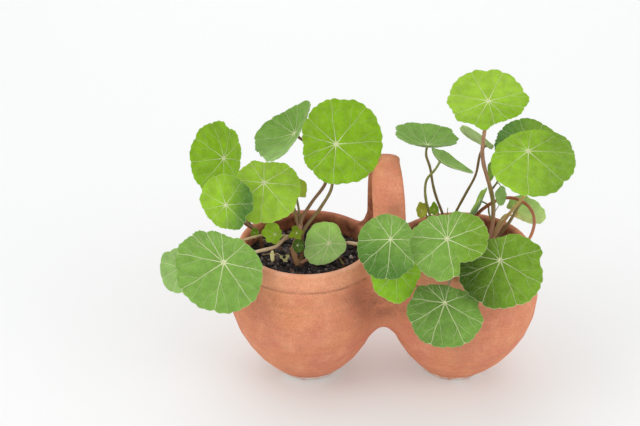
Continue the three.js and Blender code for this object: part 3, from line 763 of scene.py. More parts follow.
@dataclass(frozen=True)
class PottingSoil(TintedSkin):
    """Moist peat and bark: the eye sees it nearly black, with crumbs that catch a little light."""

    name: str = "peat_potting_soil"
    grain_mm: float = 1.8
    detail: float = 5.0
    shades: tuple[float, float] = (0.6, 1.3)
    relief_share: float = 0.8
    relief_mm: float = 0.6
    roughness: float = 0.8


# ------------------------------------------------------------------ the pot


@dataclass(frozen=True)
class TwinPot:
    """Two round bowls joined side by side, with one strap handle over the joint.

    The whole pot is one surface. It is where a field changes sign: the field is how far a point
    lies outside each bowl's turned outline, with the bowls and the handle run together softly, and
    the two cavities taken out.

    Attributes:
        spacing: From the middle of the pot to each bowl's axis.
        foot_shift: How far each foot stands off its bowl's axis, left and right.
        rise: How much taller than the outline each bowl is, left and right.
        blend: How softly the bowls run together at the blend_heights.
        outline: Heights up a bowl, each with the radius there.
        cavity: Heights up the hollow, each with the radius there.
        handle_sections: Y and Z of the strap's middle with its width and depth, from the front foot
            to the top, and mirrored from there.
        handle_power: How square the strap's oval section is: 2 is an ellipse.
        step: Spacing of the grid that the surface is found on.
        worn_foot: Heights between which the lime on the feet fades out.
        soot_spots: X, Y and Z of each dark spot with its size and strength; some are soot and some painted
            shade.
        joint_half: Half the stretch along X in which the collars run into the joint.
        inner_soot, back_soot: How dark the painted shade is in the hollows and at the backs of the rims.
        inner_fade, back_fade, shoulder: Heights, or places along Y, between which that comes or goes.
        near_side: Places along Y between which the painted highlight and the lime on the lips fade out.
            collar_highlight_rise, collar_highlight_fall: Heights between which the painted highlight comes
            and goes.
    """

    spacing: float = 57.0
    foot_shift: tuple[float, float] = (1.5, -3.5)
    foot_shift_height: float = 50.0
    rim_height: float = 107.0
    rise: tuple[float, float] = (1.018, 1.0)
    blend: tuple[float, ...] = (18.0, 32.0, 12.0)
    blend_heights: tuple[float, ...] = (30.0, 55.0, 100.0)
    handle_blend: float = 12.0
    lip_blend: float = 1.6
    foot_blend: float = 1.4
    outline: tuple[tuple[float, float], ...] = (
        (0, 21.5), (1, 22.6), (3.5, 24.6), (6, 27), (12, 33), (20, 40), (30, 46.5), (41, 52),
        (54, 55.8), (67, 57), (76, 56), (84, 53.6), (91, 51.4), (93.5, 50.4), (95.5, 51.3),
        (103, 50.2), (105.6, 49.3), (107, 47),
    )
    cavity: tuple[tuple[float, float], ...] = (
        (9, 0), (11, 17), (22, 33), (40, 44.5), (64, 50.2), (81, 48), (93, 44.5), (102, 43.6),
        (105.6, 44.4), (107, 46.7),
    )
    handle_x: float = -0.3
    handle_lean: float = 0.06
    handle_top: float = 172.1
    handle_sections: tuple[tuple[float, float, float, float], ...] = (
        (-19, 64, 32, 14), (-25.5, 79, 31, 13), (-28.5, 91, 27.5, 11), (-28.5, 103, 24, 9),
        (-27.3, 118, 22.8, 8.2), (-26, 140, 22.8, 8), (-22.5, 156, 22.6, 8.2), (-14, 167.6, 21.6, 9),
        (0, 172.1, 20, 10),
    )
    handle_power: float = 2.3
    wobble: float = 0.35
    step: float = 1.46
    worn_foot: tuple[float, float] = (6.0, 7.6)
    foot_lime: float = 0.95
    foot_crease: float = 8.8
    # Painted shade along the crease above the foot.
    foot_soot: float = 0.65
    collar_crease: float = 93.6
    collar_line: float = 0.9
    # Painted shade in the groove under the collar.
    collar_soot: float = 0.75
    collar_inside: float = 48.0
    joint_half: float = 14.0
    # Painted shade in the hollows and at the backs of the rims.
    inner_soot: float = 0.85
    inner_fade: tuple[float, float] = (101.0, 106.5)
    back_soot: float = 0.55
    back_fade: tuple[float, float] = (5.0, 30.0)
    shoulder: tuple[float, float] = (90.0, 101.0)
    above_rims: float = 112.0
    near_side: tuple[float, float] = (-20.0, 10.0)
    lip: tuple[float, float] = (105.0, 106.6)
    lip_lime: float = 0.15
    # A painted highlight on the front of the collars.
    collar_highlight_rise: tuple[float, float] = (91.0, 96.0)
    collar_highlight_fall: tuple[float, float] = (108.0, 113.0)
    collar_highlight_share: float = 0.55
    # Dark spots: soot on the handle, and painted shade under the front leaves, in the joint's valley and on
    # the back leg.
    soot_spots: tuple[tuple[float, float, float, float, float], ...] = (
        (-20, -42, 84, 10, 0.4), (-4, -36, 72, 15, 0.75), (0, 24, 118, 14, 0.6), (14, -33, 116, 8, 0.9),
        (5, -30, 151, 6, 0.5), (20, -40, 70, 13, 0.45), (18, 38, 82, 14, 0.5), (-70, 50, 60, 16, 0.3),
        (96, 30, 50, 16, 0.3), (-4, 27, 125, 24, 0.8), (-2, -30, 100, 15, 0.7), (50, -52, 60, 16, 0.4),
        (2, -8, 172, 9, 0.35),
    )

    def axis_x(self, side: int, z: np.ndarray) -> np.ndarray:
        """X of a bowl's axis at a height: each foot stands a little off its bowl's own axis."""
        fade = np.maximum(1 - z / self.foot_shift_height, 0) ** 2
        return (self.spacing if side else -self.spacing) + self.foot_shift[side] * fade

    def bowls(self, p: np.ndarray) -> np.ndarray:
        """How far points lie outside the two filled bowls, measured level with the floor."""
        x, y, z = p.T
        heights, radii = np.array(self.outline, float).T
        left, right = (
            np.hypot(x - self.axis_x(side, z), y) - np.interp(z / self.rise[side], heights, radii)
            for side in (0, 1)
        )
        body = smooth_least(left, right, np.interp(z, self.blend_heights, self.blend))
        rim = self.rim_height * np.where(x < 0, *self.rise)
        body = -smooth_least(-body, rim - z, self.lip_blend)
        return -smooth_least(-body, z, self.foot_blend)

    def cavities(self, p: np.ndarray) -> np.ndarray:
        """How far points lie outside the two cavities, measured level with the floor."""
        x, y, z = p.T
        heights, radii = np.array(self.cavity, float).T
        rooms = (
            np.hypot(x - side * self.spacing, y) - np.interp(z / rise, heights, radii, left=-9.0)
            for side, rise in zip((-1, 1), self.rise, strict=True)
        )
        return np.minimum(*rooms)

    def strap(self, p: np.ndarray) -> np.ndarray:
        """Distance of points from the strap handle, whose oval section is carried along its arch."""
        half = np.array(self.handle_sections, float)
        mirrored = half[-2::-1] * np.array([-1, 1, 1, 1])
        line = np.vstack([half, mirrored])
        path = smooth_route(np.column_stack([line[:, :2], np.zeros(len(line))]), 8)[:, :2]
        share = np.linspace(0, len(line) - 1, len(path))
        widths, depths = (np.interp(share, np.arange(len(line)), line[:, k]) for k in (2, 3))
        x, y, z = p.T
        best, at = np.full(len(p), np.inf), np.zeros(len(p))
        for k, (a, b) in enumerate(zip(path[:-1], path[1:], strict=True)):
            span = b - a
            t = np.clip(((y - a[0]) * span[0] + (z - a[1]) * span[1]) / (span @ span), 0, 1)
            far = np.hypot(y - a[0] - t * span[0], z - a[1] - t * span[1])
            near = far < best
            best, at = np.where(near, far, best), np.where(near, k + t, at)
        across = np.abs(x - self.handle_x - np.where(y < 0, self.handle_lean * (self.handle_top - z), 0))
        width = np.interp(at, np.arange(len(path)), widths) / 2
        depth = np.interp(at, np.arange(len(path)), depths) / 2
        n = self.handle_power
        u, v = across / width, best / depth
        size = np.maximum(u**n + v**n, 1e-9) ** (1 / n)
        slope = size ** (1 - n) * np.hypot(u ** (n - 1) / width, v ** (n - 1) / depth)
        return (size - 1) / slope

    def field(self, p: np.ndarray) -> np.ndarray:
        """The pot's field: below 0 in the clay and above 0 outside it, with slow crossing waves."""
        x, y, z = p.T
        body = smooth_least(self.bowls(p), self.strap(p), self.handle_blend)
        uneven = np.sin(x / 17 + np.sin(z / 23)) * np.cos(y / 19 + z / 31)
        body = body + self.wobble * uneven * smooth_step(z, 2, 14)
        return -smooth_least(-body, self.cavities(p), self.lip_blend)

    def skin(self) -> tuple[np.ndarray, np.ndarray]:
        """Finds the surface on a grid and draws its points onto the field's own zero.

        Returns:
            The points and the faces.
        """
        low, high = np.array([-117.0, -60.0, -2.0]), np.array([117.0, 60.0, 180.0])
        ticks = [np.arange(a, b + self.step, self.step) for a, b in zip(low, high, strict=True)]
        grid = np.stack(np.meshgrid(*ticks, indexing="ij"), -1)
        values = self.field(grid.reshape(-1, 3)).reshape(grid.shape[:3])
        points, faces = surface_net(values)
        points = low + points * self.step
        reach = 0.15
        for _ in range(3):
            slopes = [
                (self.field(points + reach * axis) - self.field(points - reach * axis)) / (2 * reach)
                for axis in np.eye(3)
            ]
            slope = np.stack(slopes, 1)
            move = slope * (self.field(points) / np.maximum((slope**2).sum(1), 0.2))[:, None]
            points = points - np.clip(move, -0.5 * self.step, 0.5 * self.step)
        return points, faces

    def stains(self, points: np.ndarray) -> dict[str, np.ndarray]:
        """Soot with painted shade, lime and a painted highlight at places on the pot.

        Soot and painted shade lie in spots that fade as a bell curve does, and painted shade lies in
        the creases of the feet and collars, in the hollows and at the back of the rims. Lime lies on the
        feet and thinly on the near lips, and a painted highlight on the front of the collars.

        Args:
            points: The places.

        Returns:
            The values, from 0 to 1, as soot with painted shade, lime, and the painted highlight as crest.
        """
        x, y, z = points.T
        height = z / np.where(x < 0, *self.rise)
        apart = np.abs(x) > self.joint_half
        near = 1 - smooth_step(y, *self.near_side)
        below = z < self.above_rims
        # Soot and painted shade in spots, then painted shade in the creases, the hollows and behind the
        # rims.
        soot = sum(
            strength * np.exp(-((x - a) ** 2 + (y - b) ** 2 + (z - c) ** 2) / size**2)
            for a, b, c, size, strength in self.soot_spots
        )
        soot = soot + self.foot_soot * np.exp(-((z - self.foot_crease) ** 2))
        outside = (np.hypot(np.abs(x) - self.spacing, y) > self.collar_inside) & apart
        collar = np.exp(-(((height - self.collar_crease) / self.collar_line) ** 2))
        soot = soot + self.collar_soot * collar * outside
        hollow = self.cavities(points) < 0.6
        soot = soot + self.inner_soot * hollow * (1 - smooth_step(z, *self.inner_fade))
        back = smooth_step(y, *self.back_fade) * smooth_step(z, *self.shoulder) * below
        soot = soot + self.back_soot * back
        lip = smooth_step(height, *self.lip) * apart * below * near
        lime = self.foot_lime * (1 - smooth_step(z, *self.worn_foot)) + self.lip_lime * lip
        # The painted highlight on the front of the collars.
        crest = smooth_step(z, *self.collar_highlight_rise) * (1 - smooth_step(z, *self.collar_highlight_fall))
        return {"soot": np.clip(soot, 0, 1), "lime": lime, "crest": self.collar_highlight_share * crest * near}

    def build(self, frame: Frame, material: bpy.types.Material) -> None:
        """Makes the pot in place of the frame's node, with its stains."""
        points, faces = self.skin()
        surface = Surface()
        surface.add(points, [faces], self.stains(points))
        frame.piece("twin_pot_clay", surface, material, ("twin_pot",))


# ------------------------------------------------------------------ the soil


@dataclass(frozen=True)
class SoilBed:
    """The soil in one bowl: an uneven bed with crumbs lying all over it.

    Attributes:
        side: -1 for the left bowl and 1 for the right one.
        seed: Start of its random draws.
        level: Height of the bed, and radius how far the uneven part of it reaches.
        crumbs: How many crumbs lie on it, from crumb_least to crumb_most in radius, most of them small.
        waves: Lengths of the two crossing waves, with rise their height and fine_rise that of the
            finer ones.
        wall: Heights and radii of the bed's side, up the hollow that it lies in.
    """

    side: int
    seed: int
    spacing: float = 57.0
    level: float = 94.6
    radius: float = 44.0
    crumbs: int = 1700
    crumb_least: float = 0.4
    crumb_most: float = 2.4
    rise: float = 0.55
    fine_rise: float = 0.35
    waves: tuple[float, float, float, float] = (4.1, 9.0, 5.3, 11.0)
    wall: tuple[tuple[float, float], ...] = (
        (11.4, 16.6), (22.4, 32.5), (40.3, 44.0), (64.3, 49.6), (81.3, 47.4),
    )
    columns: int = 160
    rings: int = 44

    def top(self, x: np.ndarray, y: np.ndarray) -> np.ndarray:
        """Height of the bed, two crossing waves with finer ones on them."""
        a, b, c, d = self.waves
        fine = np.sin(x / 1.3 + 2 * np.sin(y / 2.1)) * np.cos(y / 1.1 + 1.5 * np.sin(x / 1.7))
        slow = np.sin(x / a + y / b) + np.cos(y / c - x / d)
        return self.level + self.rise * slow + self.fine_rise * fine

    def build(self, frame: Frame, material: bpy.types.Material) -> None:
        """Makes the bed and its crumbs."""
        rng = np.random.default_rng(self.seed)
        centre = self.side * self.spacing
        columns = self.columns
        turn = 2 * np.pi * np.arange(columns) / columns
        parts = np.linspace(1, 0.02, self.rings)
        r, a = np.meshgrid(parts * self.radius, turn, indexing="ij")
        x, y = centre + r * np.cos(a), r * np.sin(a)
        rows = [
            np.column_stack([centre + q * np.cos(turn), q * np.sin(turn), np.full(columns, z)])
            for z, q in self.wall
        ]
        points = np.vstack([*rows, np.stack([x, y, self.top(x, y)], -1).reshape(-1, 3)])
        count = len(self.wall) + len(parts)
        middle = np.array([[centre, 0, self.wall[0][0]], [centre, 0, self.level]])
        i = np.arange(columns)
        j = (i + 1) % columns
        top_row = (count - 1) * columns
        caps = np.vstack(
            [
                np.stack([np.full(columns, count * columns), j, i], 1),
                np.stack([np.full(columns, count * columns + 1), top_row + i, top_row + j], 1),
            ]
        )
        surface = Surface()
        bed = np.vstack([points, middle])
        surface.add(bed, [grid_faces(count, columns), caps], colour=linear(Crumb.PEAT.code))
        points, faces, colours = self.lumps(rng, centre)
        surface.add(points, faces, colour=colours)
        name = "soil_left" if self.side < 0 else "soil_right"
        frame.piece(f"{name}_bed", surface, material, (name,))

    def lumps(
        self, rng: np.random.Generator, centre: float
    ) -> tuple[np.ndarray, list[np.ndarray], np.ndarray]:
        """Crumbs of twenty faces each, squashed, turned and strewn at random.

        Args:
            rng: The bed's random draws.
            centre: X of the bed's middle.

        Returns:
            Their points, faces and colours.
        """
        gold = (1 + 5**0.5) / 2
        corner = np.array(
            [[0, a, b * gold] for a in (-1, 1) for b in (-1, 1)]
            + [[a, b * gold, 0] for a in (-1, 1) for b in (-1, 1)]
            + [[b * gold, 0, a] for a in (-1, 1) for b in (-1, 1)]
        ) / math.hypot(1, gold)
        gaps = np.linalg.norm(corner[:, None] - corner[None], axis=2)
        near = (gaps > 0.1) & (gaps < 1.2)
        face = np.array(
            [
                (a, b, c)
                for a in range(12)
                for b in range(a + 1, 12)
                for c in range(b + 1, 12)
                if near[a, b] and near[b, c] and near[a, c]
            ]
        )
        first, second, third = (corner[face[:, k]] for k in range(3))
        out = np.einsum("ij,ij->i", np.cross(first, second), third) > 0
        face = np.where(out[:, None], face, face[:, ::-1])
        n = self.crumbs
        size = self.crumb_least + (self.crumb_most - self.crumb_least) * rng.random(n) ** 3.2
        far = self.radius * np.sqrt(rng.random(n)) - size
        angle = 2 * np.pi * rng.random(n)
        x, y = centre + far * np.cos(angle), far * np.sin(angle)
        uneven = 1 + 0.3 * (rng.random((n, 12, 1)) - 0.5)
        squashed = 0.6 + 0.7 * rng.random((n, 1, 3))
        shape = corner[None] * uneven * squashed
        spin = rng.normal(size=(n, 3, 3))
        spin = np.linalg.qr(spin)[0]
        points = np.einsum("nij,nkj->nki", spin, shape) * size[:, None, None]
        points += np.stack([x, y, self.top(x, y) + 0.25 * size], 1)[:, None]
        flip = np.linalg.det(spin) < 0
        faces = np.where(flip[:, None, None], face[None, :, ::-1], face[None])
        faces = faces + len(corner) * np.arange(n)[:, None, None]
        shares = np.array([crumb.share for crumb in Crumb])
        kinds = rng.choice(len(Crumb), n, p=shares / shares.sum())
        colours = np.array([linear(crumb.code) for crumb in Crumb])[kinds]
        return points.reshape(-1, 3), [faces.reshape(-1, 3)], np.repeat(colours, 12, axis=0)


# ------------------------------------------------------------------ leaves

# The side of the square that a blade's flat map spans, and a blade's thickness, in millimetres.
FLAT_SPAN = 100.0
BLADE_THICKNESS = 0.5

# The forms of every blade as parts of its radius: slow waves of the margin, puckers between the main
# veins, the dip at the hub, shallow notches midway between the veins, and scallops.
WAVE, PUCKER, DIP, MIDWAY, SCALLOP = 0.04, 0.016, 0.02, 0.012, 0.008

# Radii above which a blade has those notches and those scallops.
MIDDLING, LARGE = 12.0, 18.0

# For each kind of mesh: the radius above which a blade has it, the degrees from point to point, and
# its rings of points.
MESHES = ((18.0, 2.6, 16), (9.0, 5.0, 10), (0.0, 9.0, 7))

# Places of the first ring and of the start of the pale rim, on the way from the hub to the margin,
# and the distances from the hub between which its pale star fades out, as parts of the radius.
FIRST_RING, RIM_START = 0.035, 0.984
STAR = (0.036, 0.062)


@dataclass(frozen=True)
class VeinPlan:
    """How the veins of every blade run over it.

    Places along a vein are parts of the way from the hub to the margin. Turns are parts of the gap
    to the next main vein.

    Attributes:
        width: Half a main vein's width at the hub, for each root of a millimetre of the radius.
        side_ranks: For the arms, and for the forks with the tips: the width as a part of a main
            vein's, and the least radius of a blade that has them.
        shares: How clearly main veins, arms and forks show, next to each other.
        palest: How pale a clear main vein is out on the blade, and hub_glow how far its hub's pale
            end reaches.
        proud: How far a vein stands above the blade, and keel how far below, in its own widths.
        sway: How far a main vein sways, in radians, and sway_waves how often.
        arm_start: Where the arms leave, on one side arm_stagger before it and on the other behind.
        fork_point: The number of the point of an arm at which it forks.
        tip_leave: Where the tips leave the main vein.
    """

    width: float = 0.07
    side_ranks: tuple[tuple[float, float], ...] = ((0.48, 7.0), (0.34, 12.0))
    shares: tuple[float, float, float] = (1.0, 0.62, 0.4)
    palest: float = 0.75
    hub_glow: float = 0.2
    proud: float = 0.05
    keel: float = 0.9
    taper: float = 0.5
    main_points: int = 14
    side_points: int = 10
    sway: float = 0.018
    sway_waves: float = 1.6
    main_end: float = 0.985
    arm_start: float = 0.5
    arm_stagger: float = 0.08
    arm_end: float = 0.95
    arm_turn: float = 0.33
    fork_point: int = 3
    fork_end: float = 0.9
    fork_run: float = 0.75
    fork_turn: float = 0.24
    tip_leave: float = 10 / 13
    tip_start: float = 0.72
    tip_stagger: float = 0.05
    tip_run: float = 0.22
    tip_end: float = 0.97
    tip_turn: float = 0.13

    def swayed(self, part: np.ndarray | float, way: np.ndarray) -> np.ndarray:
        """How far a main vein that leaves in a direction has swayed at a part of its length."""
        return self.sway * part * np.sin(2 * np.pi * self.sway_waves * part + 5 * way)


def bent(q: np.ndarray, power: float) -> np.ndarray:
    """Rises from 0 to 1 with q, quickly at first: one less the power of what is left of q."""
    return 1 - (1 - q) ** power


VEINS = VeinPlan()


@dataclass(frozen=True)
class Leaf:
    """One nasturtium blade, a round shield with its hub off the middle.

    Attributes:
        hub: Where the main veins meet.
        faces: Compass heading and elevation of the way the blade faces, in degrees.
        size: Mean radius.
        longer: How far the hub sits off the middle, as a part of the radius, and the direction in
            which the blade is longer, in degrees from downhill.
        cup: How far the margin rises above the hub.
        green: Its green.
        veins: Directions of the main veins in degrees from downhill, or how many evenly spread.
        reach: Where the margin lies nearer or further than on the plain round: directions in degrees
            from downhill, each with its part of the plain distance.
        notch: How deep the margin draws in where a main vein ends, as a part of the radius.
        fade: A second green, and the direction in degrees from downhill in which the first turns to it.
        clear: How clearly the veins show, from 0 to 1.
        rimmed: How pale the very margin is, from 0 to 1.
    """

    hub: tuple[float, float, float]
    faces: tuple[float, float]
    size: float
    longer: tuple[float, float]
    cup: float
    green: Green
    veins: tuple[float, ...] | int = 9
    reach: tuple[tuple[float, float], ...] = ((0, 1.0),)
    notch: float = 0.05
    fade: tuple[Green, float] | None = None
    clear: float = 0.5
    rimmed: float = 0.1

    @property
    def directions(self) -> np.ndarray:
        """The main veins' directions, in radians, in rising order from 0 to a full turn."""
        if isinstance(self.veins, int):
            even = self.longer[1] + 360 * np.arange(self.veins) / self.veins
            return np.sort(np.radians(even % 360))
        return np.sort(np.radians(np.array(self.veins, float) % 360))

    @property
    def normal(self) -> np.ndarray:
        """The way the blade faces."""
        head, rise = np.radians(self.faces)
        return np.array([np.cos(rise) * np.cos(head), np.cos(rise) * np.sin(head), np.sin(rise)])

    @property
    def downhill(self) -> np.ndarray:
        """The direction in the blade's plane in which it falls fastest."""
        head, rise = np.radians(self.faces)
        return np.array([np.sin(rise) * np.cos(head), np.sin(rise) * np.sin(head), -np.cos(rise)])

    def between(self, angle: np.ndarray) -> np.ndarray:
        """How far an angle lies on the way from one main vein to the next, from 0 to 1."""
        d = self.directions
        edges = np.concatenate([[d[-1] - 2 * np.pi], d, [d[0] + 2 * np.pi]])
        return np.interp(np.mod(angle, 2 * np.pi), edges, np.arange(len(edges))) % 1.0

    def margin(self, angle: np.ndarray) -> np.ndarray:
        """Distance from the hub to the margin.

        It is an off-centre circle, stretched by the leaf's own reach, that draws in to a notch where
        each main vein ends and to a shallower one midway. A large blade has four scallops between.

        Args:
            angle: Directions in the blade's plane, in radians from downhill.

        Returns:
            The distances.
        """
        off, toward = self.longer[0], math.radians(self.longer[1])
        a = angle - toward
        circle = self.size * (off * np.cos(a) + np.sqrt(1 - (off * np.sin(a)) ** 2))
        part = self.between(angle)
        notch = self.notch * (1 - np.abs(np.sin(np.pi * part)) ** 0.8)
        midway = MIDWAY * np.exp(-(((part - 0.5) / 0.07) ** 2)) if self.size > MIDDLING else 0.0
        scallops = SCALLOP * np.cos(8 * np.pi * part) if self.size > LARGE else 0.0
        return circle * self.stretch(angle) * (1 - notch - midway - scallops)

    def stretch(self, angle: np.ndarray) -> np.ndarray:
        """The leaf's reach at an angle, eased from each of its directions to the next."""
        at, part = np.array(self.reach, float).T
        at = np.concatenate([[at[-1] - 360], at, [at[0] + 360]])
        part = np.concatenate([part[-1:], part, part[:1]])
        share = np.interp(np.degrees(angle) % 360, at, np.arange(len(at)))
        k = np.minimum(share.astype(int), len(at) - 2)
        return part[k] + (part[k + 1] - part[k]) * smooth_step(share - k, 0, 1)

    def point(self, t: np.ndarray, angle: np.ndarray) -> np.ndarray:
        """Points of the blade's upper face.

        The face is a shallow cup with three slow waves at the margin. It puckers up between the
        main veins and dips at the hub.

        Args:
            t: 0 at the hub and 1 at the margin.
            angle: Directions in the blade's plane, in radians from downhill.

        Returns:
            The points, with one more axis than t.
        """
        reach = t * self.margin(angle)
        a = angle - math.radians(self.longer[1])
        part = self.between(angle)
        pucker = PUCKER * self.size * t * (1.05 - t) * 4 * np.sin(np.pi * part) ** 2
        height = self.cup * t**1.6 + WAVE * self.size * t**3 * np.sin(3 * a + 0.5) + pucker
        height = height - DIP * self.size * np.exp(-((reach / (0.075 * self.size)) ** 2))
        along = np.cross(self.normal, self.downhill)
        return (
            np.array(self.hub)
            + (reach * np.cos(angle))[..., None] * self.downhill
            + (reach * np.sin(angle))[..., None] * along
            + height[..., None] * self.normal
        )

    def face_normal(self, t: np.ndarray, angle: np.ndarray) -> np.ndarray:
        """The upper face's own normals, from small steps along t and the angle."""
        safe = np.clip(t, 0.04, 0.98)
        out = self.point(safe + 0.01, angle) - self.point(safe - 0.01, angle)
        round_ = self.point(safe, angle + 0.01) - self.point(safe, angle - 0.01)
        normal = np.cross(out, round_)
        return normal / np.linalg.norm(normal, axis=-1, keepdims=True)

    def flat(self, t: np.ndarray, angle: np.ndarray) -> np.ndarray:
        """Places on the flattened blade, its hub in the middle of a square of FLAT_SPAN."""
        reach = t * self.margin(angle) / FLAT_SPAN
        return np.stack([0.5 + reach * np.cos(angle), 0.5 + reach * np.sin(angle)], -1)

    def add_blade(self, surface: Surface) -> None:
        """Adds the blade itself, thinner towards its margin, with both faces on the same grid."""
        d = self.directions
        gaps = np.diff(np.append(d, d[0] + 2 * np.pi))
        fine, rows = next(rest for least, *rest in MESHES if self.size > least)
        counts = np.maximum(np.round(np.degrees(gaps) / fine).astype(int), 3)
        angle = np.concatenate(
            [start + gap * np.arange(n) / n for start, gap, n in zip(d, gaps, counts, strict=True)]
        )
        t = np.concatenate([[FIRST_RING], np.linspace(0, RIM_START, rows)[1:], [0.993, 1.0]])
        tt, aa = np.meshgrid(t, angle, indexing="ij")
        top = self.point(tt, aa)
        thick = BLADE_THICKNESS * (1 - 0.5 * tt**3)
        bottom = top - self.face_normal(tt, aa) * thick[..., None]
        n = len(angle)
        rings = len(t)
        i = np.arange(n)
        j = (i + 1) % n
        hub = self.point(np.zeros(1), np.zeros(1))
        under_hub = hub - self.normal * BLADE_THICKNESS
        size = 1 + rings * n
        upper = [np.stack([np.zeros(n, int), 1 + i, 1 + j], 1), grid_faces(rings, n, 1)[:, [0, 3, 2, 1]]]
        lower = [part[:, ::-1] + size for part in upper]
        last = 1 + (rings - 1) * n
        edge = np.stack([last + i, last + j, last + j + size, last + i + size], 1)
        zero = np.zeros(1)
        flat = np.vstack([self.flat(zero, zero), self.flat(tt, aa).reshape(-1, 2)])
        part = self.between(aa)
        dots = self.clear * np.exp(-((np.minimum(part, 1 - part) / 0.05) ** 2))
        rim = smooth_step(tt, RIM_START, 0.998) * np.maximum(self.rimmed, dots)
        line = np.append(0.0, rim.ravel())
        star = (tt * self.margin(aa)).ravel() / self.size
        centre = np.append(1.0, 1 - smooth_step(star, *STAR))
        tints = np.vstack([linear(self.green.code), self.tints(tt, aa).reshape(-1, 4)])
        surface.add(
            np.vstack([hub, top.reshape(-1, 3), under_hub, bottom.reshape(-1, 3)]),
            [*upper, *lower, edge[:, ::-1]],
            {
                "vein": np.tile(centre, 2),
                "under": np.repeat([0.0, 1.0], size),
                "edge": np.tile(line, 2),
            },
            np.tile(tints, (2, 1)),
            np.tile(flat, (2, 1)),
        )

    def tints(self, t: np.ndarray, angle: np.ndarray) -> np.ndarray:
        """The blade's green at places on it, which turns to its second green in one direction."""
        own = np.array(linear(self.green.code))
        if self.fade is None:
            return np.broadcast_to(own, (*t.shape, 4))
        other, toward = self.fade
        share = smooth_step(t * np.cos(angle - math.radians(toward)), -0.25, 0.85)[..., None]
        return own * (1 - share) + np.array(linear(other.code)) * share

    def vein_lines(self) -> list[tuple[np.ndarray, np.ndarray, np.ndarray]]:
        """Routes of the veins over the blade.

        A main vein runs from the hub to its notch with a slight sway. About halfway it sends an arm
        out on each side, which bends away from it and then runs on to the margin. Each arm forks
        once more, and so does the main vein near its tip.

        Returns:
            For each rank of vein, the routes as t and angle, and half the vein's width, each with
            one row for a vein and one column for a point of it.
        """
        d = self.directions
        after = np.diff(np.append(d, d[0] + 2 * np.pi))
        before = np.roll(after, 1)
        way = d[:, None]
        s = np.linspace(0, 1, VEINS.main_points)
        wide = VEINS.width * self.size**0.5
        main_t = np.broadcast_to(VEINS.main_end * s, (len(d), len(s)))
        main_half = np.broadcast_to(wide * (0.5 + 0.5 * (1 - s) ** 1.2), main_t.shape)
        ranks = [(main_t, way + VEINS.swayed(s, way), main_half)]
        q = np.linspace(0, 1, VEINS.side_points)
        arms, forks = [], []
        for turn, gap in ((1, after), (-1, before)):
            span = turn * gap[:, None]
            begin = VEINS.arm_start - VEINS.arm_stagger * turn + 0.05 * np.sin(7 * way)
            arm_t = begin + (VEINS.arm_end - begin) * q
            arm_a = way + VEINS.swayed(begin, way) + VEINS.arm_turn * span * bent(q, 2.3)
            arm_a = arm_a + 0.01 * q * np.sin(9 * q + way)
            arms.append((arm_t, arm_a))
            root_t, root_a = (line[:, VEINS.fork_point, None] for line in (arm_t, arm_a))
            fork_t = root_t + (VEINS.fork_end - root_t) * VEINS.fork_run * q
            forks.append((fork_t, root_a + VEINS.fork_turn * span * bent(q, 1.8)))
            tip_t = VEINS.tip_start + VEINS.tip_stagger * turn + VEINS.tip_run * q + 0.02 * np.sin(11 * way)
            tip_a = way + VEINS.swayed(VEINS.tip_leave, way) + VEINS.tip_turn * span * bent(q, 1.6)
            forks.append((np.minimum(tip_t, VEINS.tip_end), tip_a))
        taper = 1 - VEINS.taper * q
        for (part, least), lines in zip(VEINS.side_ranks, (arms, forks), strict=True):
            if self.size < least:
                break
            t, angle = (np.vstack(rows) for rows in zip(*lines, strict=True))
            ranks.append((t, angle, np.broadcast_to(wide * part * taper, t.shape)))
        return ranks

    def add_veins(self, surface: Surface) -> None:
        """Adds the veins as three-sided ribs: flush with the upper face and standing out below.

        A vein is palest at the hub and fades outwards; side veins and forks are fainter still.
        """
        for (t, angle, half), share in zip(self.vein_lines(), VEINS.shares, strict=False):
            centre = self.point(t, angle)
            normal = self.face_normal(t, angle)
            along = np.gradient(centre, axis=1)
            side = np.cross(normal, along)
            side /= np.linalg.norm(side, axis=-1, keepdims=True)
            depth = BLADE_THICKNESS + VEINS.keel * half
            crest = centre + normal * VEINS.proud
            out = side * half[..., None]
            ring = np.stack([crest + out, crest - out, centre - normal * depth[..., None]], 2)
            lines, steps = t.shape
            start = 3 * steps * np.arange(lines)[:, None, None]
            wall = (grid_faces(steps, 3)[None] + start).reshape(-1, 4)
            ends = np.array([[0, 2, 1], [3 * steps - 3, 3 * steps - 2, 3 * steps - 1]])
            ends = (ends[None] + start).reshape(-1, 3)
            flat = np.repeat(self.flat(t, angle)[:, :, None], 3, 2).reshape(-1, 2)
            clear = VEINS.palest * share * self.clear
            pale = clear + (1 - clear) * np.exp(-((t / VEINS.hub_glow) ** 2))
            surface.add(
                ring.reshape(-1, 3),
                [wall, ends],
                {
                    "vein": np.repeat(np.clip(pale, 0, 1).ravel(), 3),
                    "under": np.tile([0.0, 0.0, 0.6], lines * steps),
                    "edge": 0.0,
                },
                np.repeat(self.tints(t, angle).reshape(-1, 4), 3, axis=0),
                flat,
            )

    def build(self, frame: Frame, name: str, material: bpy.types.Material) -> None:
        """Makes the blade with its veins, in place of the frame's node of that name."""
        surface = Surface()
        self.add_blade(surface)
        self.add_veins(surface)
        frame.piece(f"{name}_blade", surface, material, (name,))


